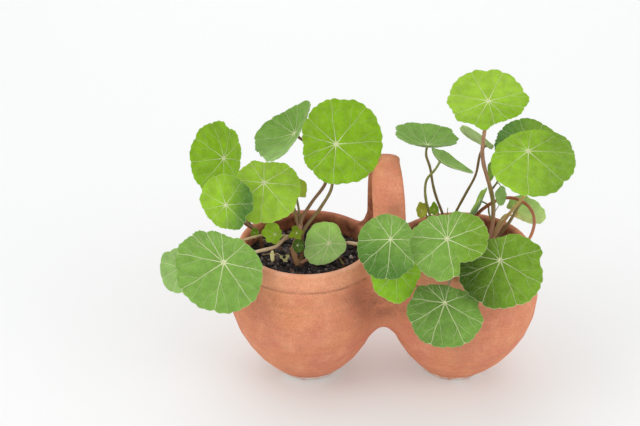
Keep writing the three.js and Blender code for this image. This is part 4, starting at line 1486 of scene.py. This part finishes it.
LEAVES = {
    "left_leaf_01": Leaf((-35.7, -8.9, 191.6), (-60, 30), 31, (0.12, 100), 4, Green.FRESH,
        (35, 80, 125, 175, 220, 245, 275, 300, 335),
        ((0, 0.94), (20, 0.97), (35, 1.01), (60, 1), (80, 1.05), (100, 1), (125, 1.04), (140, 1),
         (158, 0.95), (175, 1.03), (190, 1), (220, 1.04), (245, 1.07), (260, 1), (275, 1.09), (300, 1.06),
         (318, 1.05), (335, 1.05), (350, 0.96)),
        clear=0.5),
    "left_leaf_02": Leaf((-65.6, 28, 182.1), (-165, 45), 27, (0.1, -5), 9, Green.MATURE,
        (-5, 40, 85, 130, 175, 215, 250, 285, 320),
        ((0, 0.94), (20, 0.94), (40, 1.11), (60, 1.06), (85, 0.95), (100, 0.95), (118, 0.9), (130, 0.95),
         (150, 0.97), (175, 1.06), (192, 1), (215, 0.81), (232, 0.66), (250, 0.63), (265, 0.66),
         (285, 0.95), (295, 1.16), (312, 1.3), (335, 1.07), (350, 1)),
        fade=(Green.SAGE, 90), clear=0.6),
    "left_leaf_03": Leaf((-117, 26, 163), (-135, 20), 26, (0.03, 185), 8, Green.FRESH,
        (30, 75, 105, 135, 165, 205, 255, 295, 340),
        ((0, 1.08), (60, 1), (100, 1.02), (120, 1), (140, 1), (152, 1.02), (161, 1), (172, 0.96),
         (182, 1.03), (200, 1), (220, 0.98), (250, 1.06), (282, 1.1), (315, 1.02)),
        clear=0.55),
    "left_leaf_04": Leaf((-113, -20.5, 149.8), (-105, 30), 20, (0.08, 150), 3, Green.BRIGHT,
        (15, 55, 100, 150, 205, 250, 290, 325),
        ((0, 0.89), (20, 0.95), (42, 1.06), (58, 1.02), (70, 0.87), (80, 0.95), (90, 1.03), (105, 1),
         (140, 0.98), (175, 0.99), (205, 1.06), (240, 1.04), (262, 0.99), (280, 0.89), (300, 0.81),
         (325, 0.82), (345, 0.86)),
        fade=(Green.DUSKY, 90), clear=0.5, rimmed=0.3),
    "left_leaf_05": Leaf((-86.5, -7.3, 160.5), (-90, 35), 23.4, (0.2, 5), 2, Green.YOUNG,
        (40, 85, 120, 180, 215, 265, 310, 355),
        ((0, 1.05), (22, 1.04), (42, 1.13), (60, 1.04), (85, 1.14), (100, 1.09), (118, 1.08), (132, 1.02),
         (142, 0.88), (168, 0.78), (185, 0.8), (212, 0.95), (225, 0.9), (250, 0.94), (275, 1),
         (320, 1.03), (350, 1.1)),
        clear=0.7, rimmed=0.2),
    "left_leaf_06": Leaf((-65, 14, 145), (-90, 60), 8, (0.1, 90), 1, Green.SPRING, 7,
        ((0, 0.95), (15, 0.95), (25, 1.1), (42, 1.38), (60, 1.06), (90, 1), (130, 1), (240, 1))),
    "left_leaf_07": Leaf((-113.7, -50.3, 120.7), (-90, 40), 30.3, (0.27, -25), 2, Green.MATURE,
        (35, 77, 130, 185, 210, 230, 259, 304, 350),
        ((0, 0.97), (20, 1), (38, 1.08), (50, 1.03), (60, 1.02), (82, 1.05), (100, 0.98), (120, 0.93),
         (142, 0.92), (162, 0.82), (172, 0.84), (185, 0.93), (206, 1), (220, 1.1), (230, 1.11),
         (240, 1.09), (250, 1.12), (260, 1.09), (282, 0.96), (300, 0.99), (320, 0.92), (340, 0.93)),
        clear=0.85, rimmed=0.2),
    "left_leaf_08": Leaf((-146, -35, 107.5), (-120, 25), 15.5, (0.1, 0), 2, Green.SAGE, 8,
        ((0, 1.1), (30, 1.05), (90, 1), (200, 0.99), (225, 0.97), (245, 1.07), (260, 1.03), (290, 0.97),
         (330, 1.06)),
        clear=0.9, rimmed=0.3),
    "left_leaf_09": Leaf((-40.4, -11.7, 113.9), (-90, 40), 15.3, (0.15, -90), 1, Green.SAGE,
        (30, 85, 135, 180, 230, 280, 310, 340),
        ((0, 0.97), (20, 0.92), (30, 0.95), (42, 0.89), (60, 0.97), (85, 1), (100, 0.89), (120, 0.8),
         (138, 0.93), (160, 1.01), (180, 1.03), (200, 1.01), (225, 1.08), (240, 1.02), (260, 0.97),
         (280, 1.05), (300, 1.18), (315, 1.24), (325, 1.17), (340, 1.12)),
        notch=0.06, fade=(Green.PALE, 180), clear=0.95, rimmed=0.5),
    "left_leaf_10": Leaf((-79, -12, 121), (-90, 40), 7.8, (0.2, -90), 1, Green.OLIVE,
        (45, 100, 140, 190, 240, 290, 335),
        ((0, 0.95), (20, 0.94), (45, 0.81), (70, 0.81), (100, 0.8), (120, 0.83), (140, 0.83), (162, 0.98),
         (190, 1.2), (215, 1.14), (240, 1.15), (262, 1.08), (290, 0.92), (312, 0.92), (335, 0.89)),
        notch=0.16),
    "left_leaf_11": Leaf((-63.6, -16, 124.4), (-90, 45), 4.6, (0.1, -90), 0.5, Green.TAWNY, 5,
        ((0, 1), (25, 1.3), (65, 0.85), (105, 1.2), (150, 0.85), (200, 1.35), (245, 0.8), (295, 1.25),
         (335, 0.8)),
        notch=0.1, clear=0.2),
    "left_leaf_12": Leaf((-63, -22, 118), (-55, 25), 5, (0.1, 0), 1, Green.DARK, 5, notch=0.1, clear=0.25),
    "left_leaf_13": Leaf((-95, 8, 111), (-45, 20), 4, (0.1, 0), 0.5, Green.FRESH, 5, notch=0.1),
    # Its second green, on its lower part, is painted shade.
    "left_leaf_14": Leaf((0.4, -66.7, 148.8), (-115, 30), 21.5, (0.25, -12), 4, Green.MATURE,
        (10, 60, 100, 145, 185, 225, 285, 325),
        ((0, 1.04), (25, 1.08), (42, 1.05), (58, 1.14), (66, 0.98), (76, 0.79), (88, 0.74), (100, 0.8),
         (108, 0.9), (114, 1.02), (130, 1), (145, 1.07), (162, 1), (185, 1.04), (205, 1.02), (225, 1),
         (245, 0.96), (285, 0.98), (300, 0.96), (322, 0.99), (345, 1.02)),
        fade=(Green.DUSKY, -10), clear=0.9, rimmed=0.2),
    "right_leaf_01": Leaf((69, 0, 220.5), (-100, 70), 28.8, (0.04, 190), 2, Green.YOUNG,
        (15, 40, 75, 110, 165, 210, 265, 310, 345),
        ((0, 1.12), (12, 0.93), (25, 0.83), (45, 0.88), (62, 0.94), (82, 0.97), (92, 0.98), (112, 0.9),
         (138, 0.92), (155, 1.02), (172, 1.04), (190, 0.91), (203, 0.99), (225, 0.96), (250, 0.96),
         (283, 1), (298, 0.97), (310, 1.05), (322, 1.11), (338, 1.03), (350, 1.08)),
        fade=(Green.FRESH, 30), clear=0.55),
    "right_leaf_02": Leaf((98, -8, 186), (-80, 65), 31, (0.37, -5), 1, Green.BRIGHT,
        (30, 80, 115, 160, 200, 240, 270, 305, 345),
        ((0, 0.97), (15, 0.96), (28, 0.93), (42, 0.95), (60, 1), (80, 1.1), (100, 1.05), (120, 1.03),
         (150, 0.97), (180, 0.9), (200, 0.88), (225, 0.78), (242, 0.8), (260, 0.83), (283, 0.91),
         (305, 1), (322, 0.93), (345, 1)),
        fade=(Green.DEEP, 60), clear=0.5),
    # Its second green is painted shade over the part of the blade that lies in shade.
    "right_leaf_03": Leaf((107, 28, 170.5), (-50, 70), 30.5, (0.08, 0), 2, Green.DEEP, 9,
        ((0, 1.02), (20, 1.02), (60, 0.98), (80, 1.1), (100, 0.94), (125, 1), (155, 1.03), (180, 0.97),
         (200, 0.97), (225, 0.96), (245, 1.1), (270, 1.18), (320, 1)),
        fade=(Green.DUSKY, 225), clear=0.5, rimmed=0.2),
    "right_leaf_04": Leaf((29, 10, 182), (48, 83.5), 23.3, (0.03, 90), 8, Green.MATURE, 9,
        ((0, 0.86), (20, 0.92), (40, 1.02), (60, 1.06), (100, 1), (240, 1.1), (262, 1.05), (300, 0.97),
         (320, 0.85), (340, 0.88)),
        notch=0.08, clear=0.5),
    "right_leaf_05": Leaf((39, 10, 169), (15, 60), 16.2, (0.5, -80), 5.7, Green.LIGHT, 8,
        ((0, 0.88), (20, 0.85), (45, 0.83), (65, 0.8), (85, 0.9), (120, 0.98), (140, 1), (200, 0.9),
         (260, 0.95), (290, 0.98), (312, 1.12), (326, 1.2), (340, 0.96))),
    "right_leaf_06": Leaf((72, 21.1, 176.3), (43, 42), 15.3, (0.5, 131), 1, Green.HOARY, 8,
        ((0, 0.85), (60, 1), (200, 1), (240, 0.88), (275, 0.75), (310, 0.75))),
    "right_leaf_07": Leaf((101, 43, 111.2), (90, 15), 15, (0.46, -90), 2, Green.PALE, 8,
        ((0, 0.7), (22, 0.5), (50, 0.4), (75, 0.5), (95, 0.92), (120, 0.93), (150, 1), (200, 0.9),
         (222, 0.78), (240, 0.79), (260, 0.84), (280, 1.06), (300, 1.31), (310, 1.4), (320, 1.24),
         (332, 0.95), (342, 0.78)),
        fade=(Green.ASHEN, 0), clear=0.8),
    "right_leaf_08": Leaf((77.5, 20, 156), (-170, 5), 7, (0.1, 0), 1, Green.FRESH, 6),
    "right_leaf_09": Leaf((71, 28, 127), (172, 27), 13, (0.1, 0), 0.6, Green.BRIGHT, 8,
        ((0, 1), (180, 1), (240, 0.8), (300, 0.7)),
        notch=0.12, fade=(Green.DUSKY, 80)),
    "right_leaf_10": Leaf((28, 24, 120), (-140, 20), 6.4, (0.1, 180), 1, Green.SPRING, 6,
        ((0, 0.88), (60, 0.92), (90, 1), (120, 1.14), (160, 1.16), (185, 1), (205, 1.02), (235, 0.85),
         (260, 0.78), (290, 0.73), (315, 0.62)),
        notch=0.1),
    "right_leaf_11": Leaf((38, 32, 117), (-135, 20), 5.4, (0.1, 180), 0.5, Green.BRIGHT, 6,
        ((0, 0.8), (120, 0.9), (150, 0.75), (190, 1.1), (230, 0.75), (280, 0.85)),
        notch=0.14),
    "right_leaf_12": Leaf((39.3, -60, 145.2), (-90, 60), 28.3, (0.2, 0), 3, Green.MATURE,
        (5, 60, 110, 150, 175, 200, 225, 270, 315),
        ((0, 1), (10, 0.95), (20, 0.65), (32, 0.72), (40, 0.76), (46, 0.8), (62, 0.91), (80, 0.95),
         (98, 1.05), (110, 1.11), (122, 1.08), (140, 0.97), (152, 0.95), (182, 0.79), (215, 0.86),
         (245, 0.85), (265, 0.95), (285, 0.95), (300, 0.97), (325, 1), (338, 1), (350, 1.04)),
        fade=(Green.DEEP, 80), clear=0.95, rimmed=0.3),
    "right_leaf_13": Leaf((38.7, -71.4, 101.3), (-90, 60), 26.8, (0.31, 0), 2, Green.BLUE,
        (20, 55, 110, 165, 195, 225, 265, 305, 340),
        ((0, 1), (20, 1.05), (40, 0.98), (57, 1.02), (78, 0.86), (100, 0.93), (112, 0.84), (125, 0.68),
         (145, 0.6), (170, 0.68), (200, 0.78), (222, 0.88), (236, 1), (258, 0.95), (285, 1), (310, 0.98),
         (340, 1.04)),
        fade=(Green.MATURE, 80), clear=0.95, rimmed=0.2),
    "right_leaf_14": Leaf((77.6, -51.5, 123.2), (-90, 55), 30.5, (0.24, 0), 2, Green.DEEP,
        (15, 55, 105, 165, 190, 225, 260, 295, 335),
        ((0, 0.98), (22, 1), (42, 0.98), (55, 1), (74, 0.94), (86, 0.9), (106, 1.13), (122, 1.01),
         (140, 0.95), (160, 0.88), (175, 0.74), (200, 0.73), (240, 0.9), (285, 0.97), (297, 1.04),
         (308, 0.99), (325, 0.98), (340, 1.02)),
        fade=(Green.DARK, 280), clear=0.65, rimmed=0.4),
    "right_leaf_15": Leaf((6, -50, 114), (-90, 40), 19, (0.2, 0), 2, Green.LIME, 9,
        ((0, 1.08), (20, 0.95), (38, 0.88), (60, 0.79), (80, 0.93), (100, 0.88), (120, 0.95), (180, 1),
         (270, 1), (298, 0.93), (320, 1.02), (335, 0.95), (350, 1)),
        clear=0.6, rimmed=0.4),
}


# ------------------------------------------------------------------ shoots


@dataclass(frozen=True)
class Stalk:
    """One stalk of a shoot.

    Attributes:
        radius: Its radius about halfway along.
        points: Points of its route, up to where it turns square to its blade.
        leaf: Name of the leaf that it carries, or nothing for a trunk.
        skin: Its colours, evenly spread from the foot to the tip.
        straight_end: Least length of the straight stretch under the hub, or straight_part of the
            blade's radius if that is more; it is shorter under a blade smaller than small_blade.
        hub_dip: How deep the hub lies, as a part of the radius, and short_of_face how far below its
            upper face the stalk ends.
    """

    radius: float
    points: tuple[tuple[float, float, float], ...]
    leaf: str = ""
    skin: tuple[Bark, ...] = (Bark.BROWN, Bark.OLIVE)
    straight_end: float = 7.0
    straight_part: float = 0.32
    small_blade: float = 12.0
    hub_dip: float = 0.02
    short_of_face: float = 0.3
    sides: int = 12

    def route(self) -> np.ndarray:
        """Its centre line, which ends square to the underside of its blade."""
        points = [np.array(p, float) for p in self.points]
        if self.leaf:
            leaf = LEAVES[self.leaf]
            hub = np.array(leaf.hub, float)
            straight = max(self.straight_end, self.straight_part * leaf.size)
            points.append(hub - leaf.normal * straight * min(1.0, leaf.size / self.small_blade))
            points.append(hub - leaf.normal * (self.hub_dip * leaf.size + self.short_of_face))
        return smooth_route(np.array(points), 10)

    def add(self, surface: Surface) -> None:
        """Adds the stalk: it tapers, swells a little at both ends and is slightly uneven."""
        path = self.route()
        s = np.linspace(0, 1, len(path))
        swell = 0.22 * np.exp(-((s / 0.05) ** 2))
        if self.leaf:
            swell = swell + 0.3 * np.exp(-(((1 - s) / 0.02) ** 2))
        uneven = 0.04 * np.sin(23 * s + 9 * self.radius) + 0.03 * np.sin(61 * s)
        radii = self.radius * (1.12 - 0.26 * s + swell + uneven)
        points, faces = tube(path, radii, self.sides)
        share = np.append(np.repeat(s, self.sides), [0.0, 1.0]) * (len(self.skin) - 1)
        barks = np.array([linear(bark.value) for bark in self.skin])
        at = np.minimum(share.astype(int), len(barks) - 2)
        part = (share - at)[:, None]
        surface.add(points, faces, colour=barks[at] * (1 - part) + barks[at + 1] * part)


@dataclass(frozen=True)
class Shoot:
    """One shoot: a crown in the soil and the stalks that grow from it.

    Attributes:
        foot: X and Y of its crown, with the radius there.
        stalks: Its stalks.
        level: Height of the soil, with how far the crown is buried below it and shown above it.
    """

    foot: tuple[float, float, float]
    stalks: tuple[Stalk, ...]
    level: float = 94.6
    buried: float = 7.8
    shown: float = 3.2
    rings: int = 12

    def build(self, frame: Frame, name: str, material: bpy.types.Material) -> None:
        """Makes the shoot in place of the frame's node of that name."""
        surface = Surface()
        x, y, radius = self.foot
        heights = np.linspace(-self.buried, self.shown, self.rings)
        path = np.column_stack([np.full((self.rings, 2), (x, y)), self.level + heights])
        narrower = 0.3 * smooth_step(heights, -1, self.shown)
        radii = radius * (0.95 - narrower + 0.05 * np.sin(2.2 * heights))
        points, faces = tube(path, radii, 16)
        surface.add(points, faces, colour=linear(Bark.UMBER.value))
        for stalk in self.stalks:
            stalk.add(surface)
        frame.piece(f"{name}_stalks", surface, material, (name,))


SHOOTS = {
    "left_shoot_main": Shoot((-62, -12, 3.6), (
        Stalk(2.1, ((-62, -12, 94), (-65, -12, 102), (-66, -11, 108), (-64, -10, 115), (-62, -8, 122),
            (-61, -6, 126)), skin=(Bark.TAN, Bark.ROSY)),
        Stalk(1.2, ((-61, -11, 94), (-60, -8, 106), (-60, -6, 115), (-58, -4, 121), (-47, 3, 134),
            (-39, 8, 147), (-38, 9, 158), (-39, 9, 172)), "left_leaf_01", (Bark.BROWN, Bark.OLIVE)),
        Stalk(1.2, ((-61, -7, 124), (-60, -5, 130), (-53, 3, 139), (-43, 14, 149), (-41, 23, 158),
            (-46, 28, 167), (-53, 30, 172)), "left_leaf_02", (Bark.BROWN, Bark.BROWN)),
        Stalk(1.1, ((-62, -8, 122), (-64, -3, 130), (-66, 1, 136), (-73, 5, 143)), "left_leaf_05"),
        Stalk(0.9, ((-61, -7, 124), (-62, 0, 133)), "left_leaf_06", (Bark.BROWN, Bark.LEAFY)),
        Stalk(1.2, ((-62, -9, 119), (-72, -18, 121), (-78, -27, 120), (-85, -33, 121), (-92, -38, 122),
            (-103, -41, 119)), "left_leaf_07", (Bark.BROWN, Bark.CREAM)),
        Stalk(0.9, ((-63, -9, 117), (-72, -8, 117.5), (-86, -6, 117), (-98, -14, 119), (-118, -24, 116),
            (-134, -27, 108)), "left_leaf_08", (Bark.STRAW, Bark.STRAW)),
        Stalk(0.8, ((-73, -8, 117.4),), "left_leaf_10", (Bark.STRAW, Bark.LEAFY)),
        Stalk(0.7, ((-62, -8, 120), (-62, -11, 121)), "left_leaf_11", (Bark.STRAW, Bark.LEAFY)),
        Stalk(0.7, ((-64, -10, 114), (-65, -13, 114)), "left_leaf_12", (Bark.STRAW, Bark.LEAFY)),
        Stalk(1.3, ((-62, -12, 96.5), (-56, -10, 99), (-40, 0, 103), (-28, -7, 111), (-21, -20, 118),
            (-12, -39, 129), (-3, -55, 138)), "left_leaf_14", (Bark.ROSY, Bark.CREAM)),
    )),
    "left_shoot_young": Shoot((-30, -14, 1.7), (
        Stalk(0.8, ((-30, -14, 92), (-30, -14, 96.5), (-34, -9, 101)), "left_leaf_09",
            (Bark.OLIVE, Bark.OLIVE)),
    )),
    "left_shoot_back": Shoot((-90, 13, 2.2), (
        Stalk(1.6, ((-90, 13, 94), (-91, 13, 103), (-93, 13, 109), (-97, 13, 113)),
            skin=(Bark.UMBER, Bark.BROWN)),
        Stalk(1.1, ((-94, 13, 110), (-101, 10, 117), (-106, 2, 128), (-109, -9, 141)), "left_leaf_04",
            (Bark.BROWN, Bark.BROWN)),
        Stalk(1.1, ((-94, 13, 110), (-101, 15, 118), (-105, 20, 127), (-109, 26, 141), (-111, 30, 153)),
            "left_leaf_03"),
        Stalk(0.6, ((-93, 13, 109), (-96, 11, 109)), "left_leaf_13", (Bark.LEAFY, Bark.LEAFY)),
    )),
    "right_shoot_main": Shoot((78, 15, 4.2), (
        Stalk(1.5, ((78, 15, 94), (79, 15, 104), (80, 15, 120), (79, 15, 134), (76, 14, 146),
            (73, 12, 156), (70, 10, 166), (68, 7, 178), (68, 5, 190), (69, 4, 203)), "right_leaf_01",
            (Bark.ROSY, Bark.ROSY, Bark.OLIVE, Bark.TAN, Bark.ROSY, Bark.ROSY, Bark.TAN, Bark.ROSY)),
        Stalk(1.1, ((79, 14, 97), (88, 12, 119), (93, 9, 130), (98, 4, 141), (100, -5, 153),
            (100, -10, 165)), "right_leaf_02", (Bark.ROSY, Bark.GOLDEN, Bark.GOLDEN)),
        Stalk(1.1, ((80, 15, 97), (91, 16, 113), (97, 18, 124), (103, 23, 134), (106, 28, 148)),
            "right_leaf_03", (Bark.BROWN, Bark.OLIVE, Bark.GOLDEN)),
        Stalk(1.0, ((79, 16, 96), (84, 23, 106), (92, 33, 112)), "right_leaf_07",
            (Bark.BROWN, Bark.GOLDEN)),
        Stalk(0.7, ((77, 15, 142), (82, 17, 150)), "right_leaf_08", (Bark.BROWN, Bark.LEAFY)),
        Stalk(0.7, ((80, 15, 114), (78, 24, 119)), "right_leaf_09", (Bark.OLIVE, Bark.LEAFY)),
    )),
    "right_shoot_loop": Shoot((64, 20, 1.5), (
        Stalk(1.2, ((64, 20, 94), (66, 20, 107), (69, 21, 119), (79, 22, 128), (87, 22, 132),
            (94, 20, 133.5), (100, 14, 134), (104, 7, 133.5), (106, -1, 132.5), (106, -10, 131),
            (104, -20, 130), (100, -30, 128), (93, -38, 124)), "right_leaf_14",
            (Bark.RUSSET, Bark.RUSSET)),
    )),
    "right_shoot_back": Shoot((49, 25, 3.0), (
        Stalk(1.0, ((49, 25, 94), (46, 22, 110), (43, 20, 121), (38, 18, 135), (35, 16, 146),
            (32, 13, 162)), "right_leaf_04"),
        Stalk(1.0, ((48, 25, 95), (42, 20, 104), (36, 17, 112), (33, 14, 124), (30, 12, 136),
            (29, 12, 145), (30, 12, 153)), "right_leaf_05", (Bark.OLIVE, Bark.LEAFY)),
        Stalk(1.0, ((49, 25, 95), (51, 26, 109), (54, 26, 119), (60, 24, 135), (66, 21, 152)),
            "right_leaf_06", (Bark.OLIVE, Bark.BROWN)),
        Stalk(0.7, ((47, 24, 97), (40, 25, 104), (33, 27, 113)), "right_leaf_10",
            (Bark.OLIVE, Bark.LEAFY)),
        Stalk(0.7, ((48, 25, 97), (43, 32, 108)), "right_leaf_11", (Bark.OLIVE, Bark.LEAFY)),
    )),
    "right_shoot_front": Shoot((48, -8, 2.8), (
        Stalk(1.2, ((48, -8, 94), (47, -20, 113), (43, -40, 129)), "right_leaf_12",
            (Bark.BROWN, Bark.STRAW)),
        Stalk(1.1, ((48, -9, 97), (48, -26, 103), (46, -45, 110), (43, -54, 107.5), (39, -62, 99)),
            "right_leaf_13", (Bark.BROWN, Bark.CREAM)),
        Stalk(1.0, ((47, -9, 97), (36, -22, 105), (24, -34, 111.5), (13, -41, 112)), "right_leaf_15",
            (Bark.BROWN, Bark.STRAW)),
    )),
}


# ------------------------------------------------------------------ small dry things


@dataclass(frozen=True)
class Litter:
    """Small withered things of one plant: scraps of blades, and threads that old stalks left.

    Attributes:
        scraps: The scraps, shaped as small blades.
        threads: The threads, shaped as thin stalks.
    """

    scraps: tuple[Leaf, ...]
    threads: tuple[Stalk, ...]

    def build(
        self, frame: Frame, name: str, blade_skin: bpy.types.Material, stalk_skin: bpy.types.Material
    ) -> None:
        """Makes one piece of the scraps, if there are any, and one of the threads."""
        if self.scraps:
            surface = Surface()
            for scrap in self.scraps:
                scrap.add_blade(surface)
            frame.piece(f"{name}_scraps", surface, blade_skin)
        surface = Surface()
        for thread in self.threads:
            thread.add(surface)
        frame.piece(f"{name}_threads", surface, stalk_skin)


LITTER = {
    "left_litter": Litter(
        (
            Leaf((-72.6, -4.8, 96.8), (-80, 68), 3.6, (0, 0), 0.5, Green.DRY, 5, ((0, 1.25), (60, 0.55),
                (125, 1.2), (185, 0.6), (240, 1.15), (300, 0.6)), clear=0),
            Leaf((-80.7, -30.6, 116.6), (-90, 15), 2.9, (0.3, 0), 0.3, Green.DRY, 5, ((0, 1.7),
                (35, 0.7), (90, 0.4), (180, 1), (270, 0.4), (325, 0.7)), clear=0),
        ),
        (
            Stalk(0.35, ((-89.5, 1.5, 95.8), (-84, 2.2, 96.4), (-78.7, 1.5, 95.8)),
                skin=(Bark.TAN, Bark.STRAW)),
            Stalk(0.3, ((-79.4, 4, 96), (-77.5, 1.5, 96.8), (-74.5, -3, 96.6)),
                skin=(Bark.STRAW, Bark.CREAM)),
        ),
    ),
    "right_litter": Litter(
        (
            Leaf((84, 10, 146.5), (-95, 12), 6, (0.4, 0), 0.6, Green.SAGE, 5, ((0, 1.6), (35, 0.85),
                (60, 0.5), (90, 0.5), (180, 0.6), (270, 0.45), (325, 0.95)), clear=0.3),
        ),
        (
            Stalk(0.4, ((79.6, 16, 146.4), (82, 13.5, 149), (84, 10.3, 147.2)),
                skin=(Bark.LEAFY, Bark.LEAFY)),
            Stalk(0.35, ((46.2, 22.4, 108), (47, 25, 113), (47.5, 25, 122.5)),
                skin=(Bark.OLIVE, Bark.LEAFY)),
            Stalk(0.3, ((80, 15, 123), (82.2, 14.2, 127.8), (84.8, 14, 133)),
                skin=(Bark.OLIVE, Bark.UMBER)),
        ),
    ),
}


# ------------------------------------------------------------------ the studio


@dataclass(frozen=True)
class Studio:
    """A white table that runs up into a white wall, soft daylight and the camera.

    The table is thin paper that also glows a little with light from below.

    Attributes:
        elevation: How far the camera looks down, in degrees.
        distance: From the camera to the point that it looks at.
        target: That point, in the pot's own millimetres.
        lens: Focal length of the camera, for a sensor 36 mm wide.
        lamps: The name, place, width and power in watts of each lamp.
    """

    elevation: float = 29.0
    distance: float = 1000.0
    target: tuple[float, float, float] = (-47.0, 0.0, 132.0)
    lens: float = 78.125
    paper: str = "#dbdcdc"
    glow: float = 0.15
    sky: float = 0.85
    lamps: tuple[tuple[str, tuple[float, float, float], float, float], ...] = (
        ("window_left", (-900, -500, 1100), 900, 4.3),
        ("window_right", (1000, -700, 900), 900, 4.2),
        ("back_light", (0, 1300, 1000), 1400, 5.4),
    )

    def build(self, frame: Frame) -> None:
        """Makes the table, the daylight and the camera."""
        self.table(frame)
        self.daylight(frame)
        self.camera(frame)

    def table(self, frame: Frame) -> None:
        """A sheet of white paper: level in front, then a quarter round and a wall."""
        radius, far, wide, front = 600.0, 1500.0, 3000.0, 2500.0
        turn = np.linspace(0, np.pi / 2, 24)
        y = np.concatenate([[-front, 0, far / 2], far + radius * np.sin(turn), [far + radius]])
        z = np.concatenate([[0, 0, 0], radius * (1 - np.cos(turn)), [3000.0]])
        x = np.linspace(-wide, wide, 3)
        points = np.stack([np.tile(x, len(y)), np.repeat(y, 3), np.repeat(z, 3)], 1)
        mesh = bpy.data.meshes.new("paper_sweep")
        faces = grid_faces(len(y), 3, closed=False)
        mesh.from_pydata(frame.place(points).tolist(), [], faces.tolist())
        mesh.polygons.foreach_set("use_smooth", np.ones(len(faces), bool))
        material, tree = new_material("matte_white_paper")
        skin = add_node(
            tree,
            "ShaderNodeBsdfPrincipled",
            {
                "Base Color": linear(self.paper),
                "Roughness": 0.9,
                "Specular IOR Level": 0.1,
                "Emission Color": (1.0, 1.0, 1.0, 1.0),
                "Emission Strength": self.glow,
            },
        )
        add_node(tree, "ShaderNodeOutputMaterial", {"Surface": skin.outputs["BSDF"]})
        mesh.materials.append(material)
        sweep = bpy.data.objects.new("paper_sweep", mesh)
        bpy.context.scene.collection.objects.link(sweep)
        sweep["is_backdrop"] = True

    def daylight(self, frame: Frame) -> None:
        """An even white sky and large square lamps, all turned to the plants."""
        world = bpy.data.worlds.new("white_room")
        world.use_nodes = True
        tree = world.node_tree
        tree.nodes.clear()
        sky = add_node(tree, "ShaderNodeBackground", {"Color": (1.0, 1.0, 1.0, 1.0), "Strength": self.sky})
        add_node(tree, "ShaderNodeOutputWorld", {"Surface": sky.outputs["Background"]})
        bpy.context.scene.world = world
        aim = np.array([0.0, 0.0, 110.0])
        for name, place, size, power in self.lamps:
            lamp = bpy.data.lights.new(name, "AREA")
            lamp.shape, lamp.size, lamp.energy = "SQUARE", size * MM, power
            made = bpy.data.objects.new(name, lamp)
            made.location = frame.place(np.array(place, float))
            x, y, z = np.array(place, float) - aim
            made.rotation_euler = (math.atan2(math.hypot(x, y), z), 0.0, math.atan2(x, -y))
            bpy.context.scene.collection.objects.link(made)

    def camera(self, frame: Frame) -> None:
        """The camera, level and square to the row of bowls, looking down on the plants."""
        lens = bpy.data.cameras.new("portrait")
        lens.lens, lens.sensor_width, lens.clip_end = self.lens, 36.0, 20.0
        made = bpy.data.objects.new("portrait", lens)
        tilt = math.radians(self.elevation)
        back = np.array([0.0, -math.cos(tilt), math.sin(tilt)]) * self.distance
        made.location = frame.place(np.array(self.target) + back)
        made.rotation_euler = (math.pi / 2 - tilt, 0.0, 0.0)
        bpy.context.scene.collection.objects.link(made)
        bpy.context.scene.camera = made
        bpy.context.scene.view_settings.view_transform = "Standard"


def corners() -> list[list[float]]:
    """The lowest and highest corners of all that is shown, as plain lists."""
    return [[float(v) for v in corner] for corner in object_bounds()]


def main() -> None:
    """Builds the studio and every piece."""
    logging.basicConfig(level=logging.INFO, format="%(name)s: %(message)s")
    frame = Frame()
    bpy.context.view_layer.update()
    Studio().build(frame)
    TwinPot().build(frame, Terracotta().material())
    soil = PottingSoil().material()
    SoilBed(side=-1, seed=11).build(frame, soil)
    SoilBed(side=1, seed=23).build(frame, soil)
    stalk_skin = StalkSkin().material()
    for name, shoot in SHOOTS.items():
        shoot.build(frame, name, stalk_skin)
    blade_skin = BladeSkin().material()
    for name, leaf in LEAVES.items():
        leaf.build(frame, name, blade_skin)
    for name, litter in LITTER.items():
        litter.build(frame, name, blade_skin, stalk_skin)


if __name__ == "__main__":
    main()
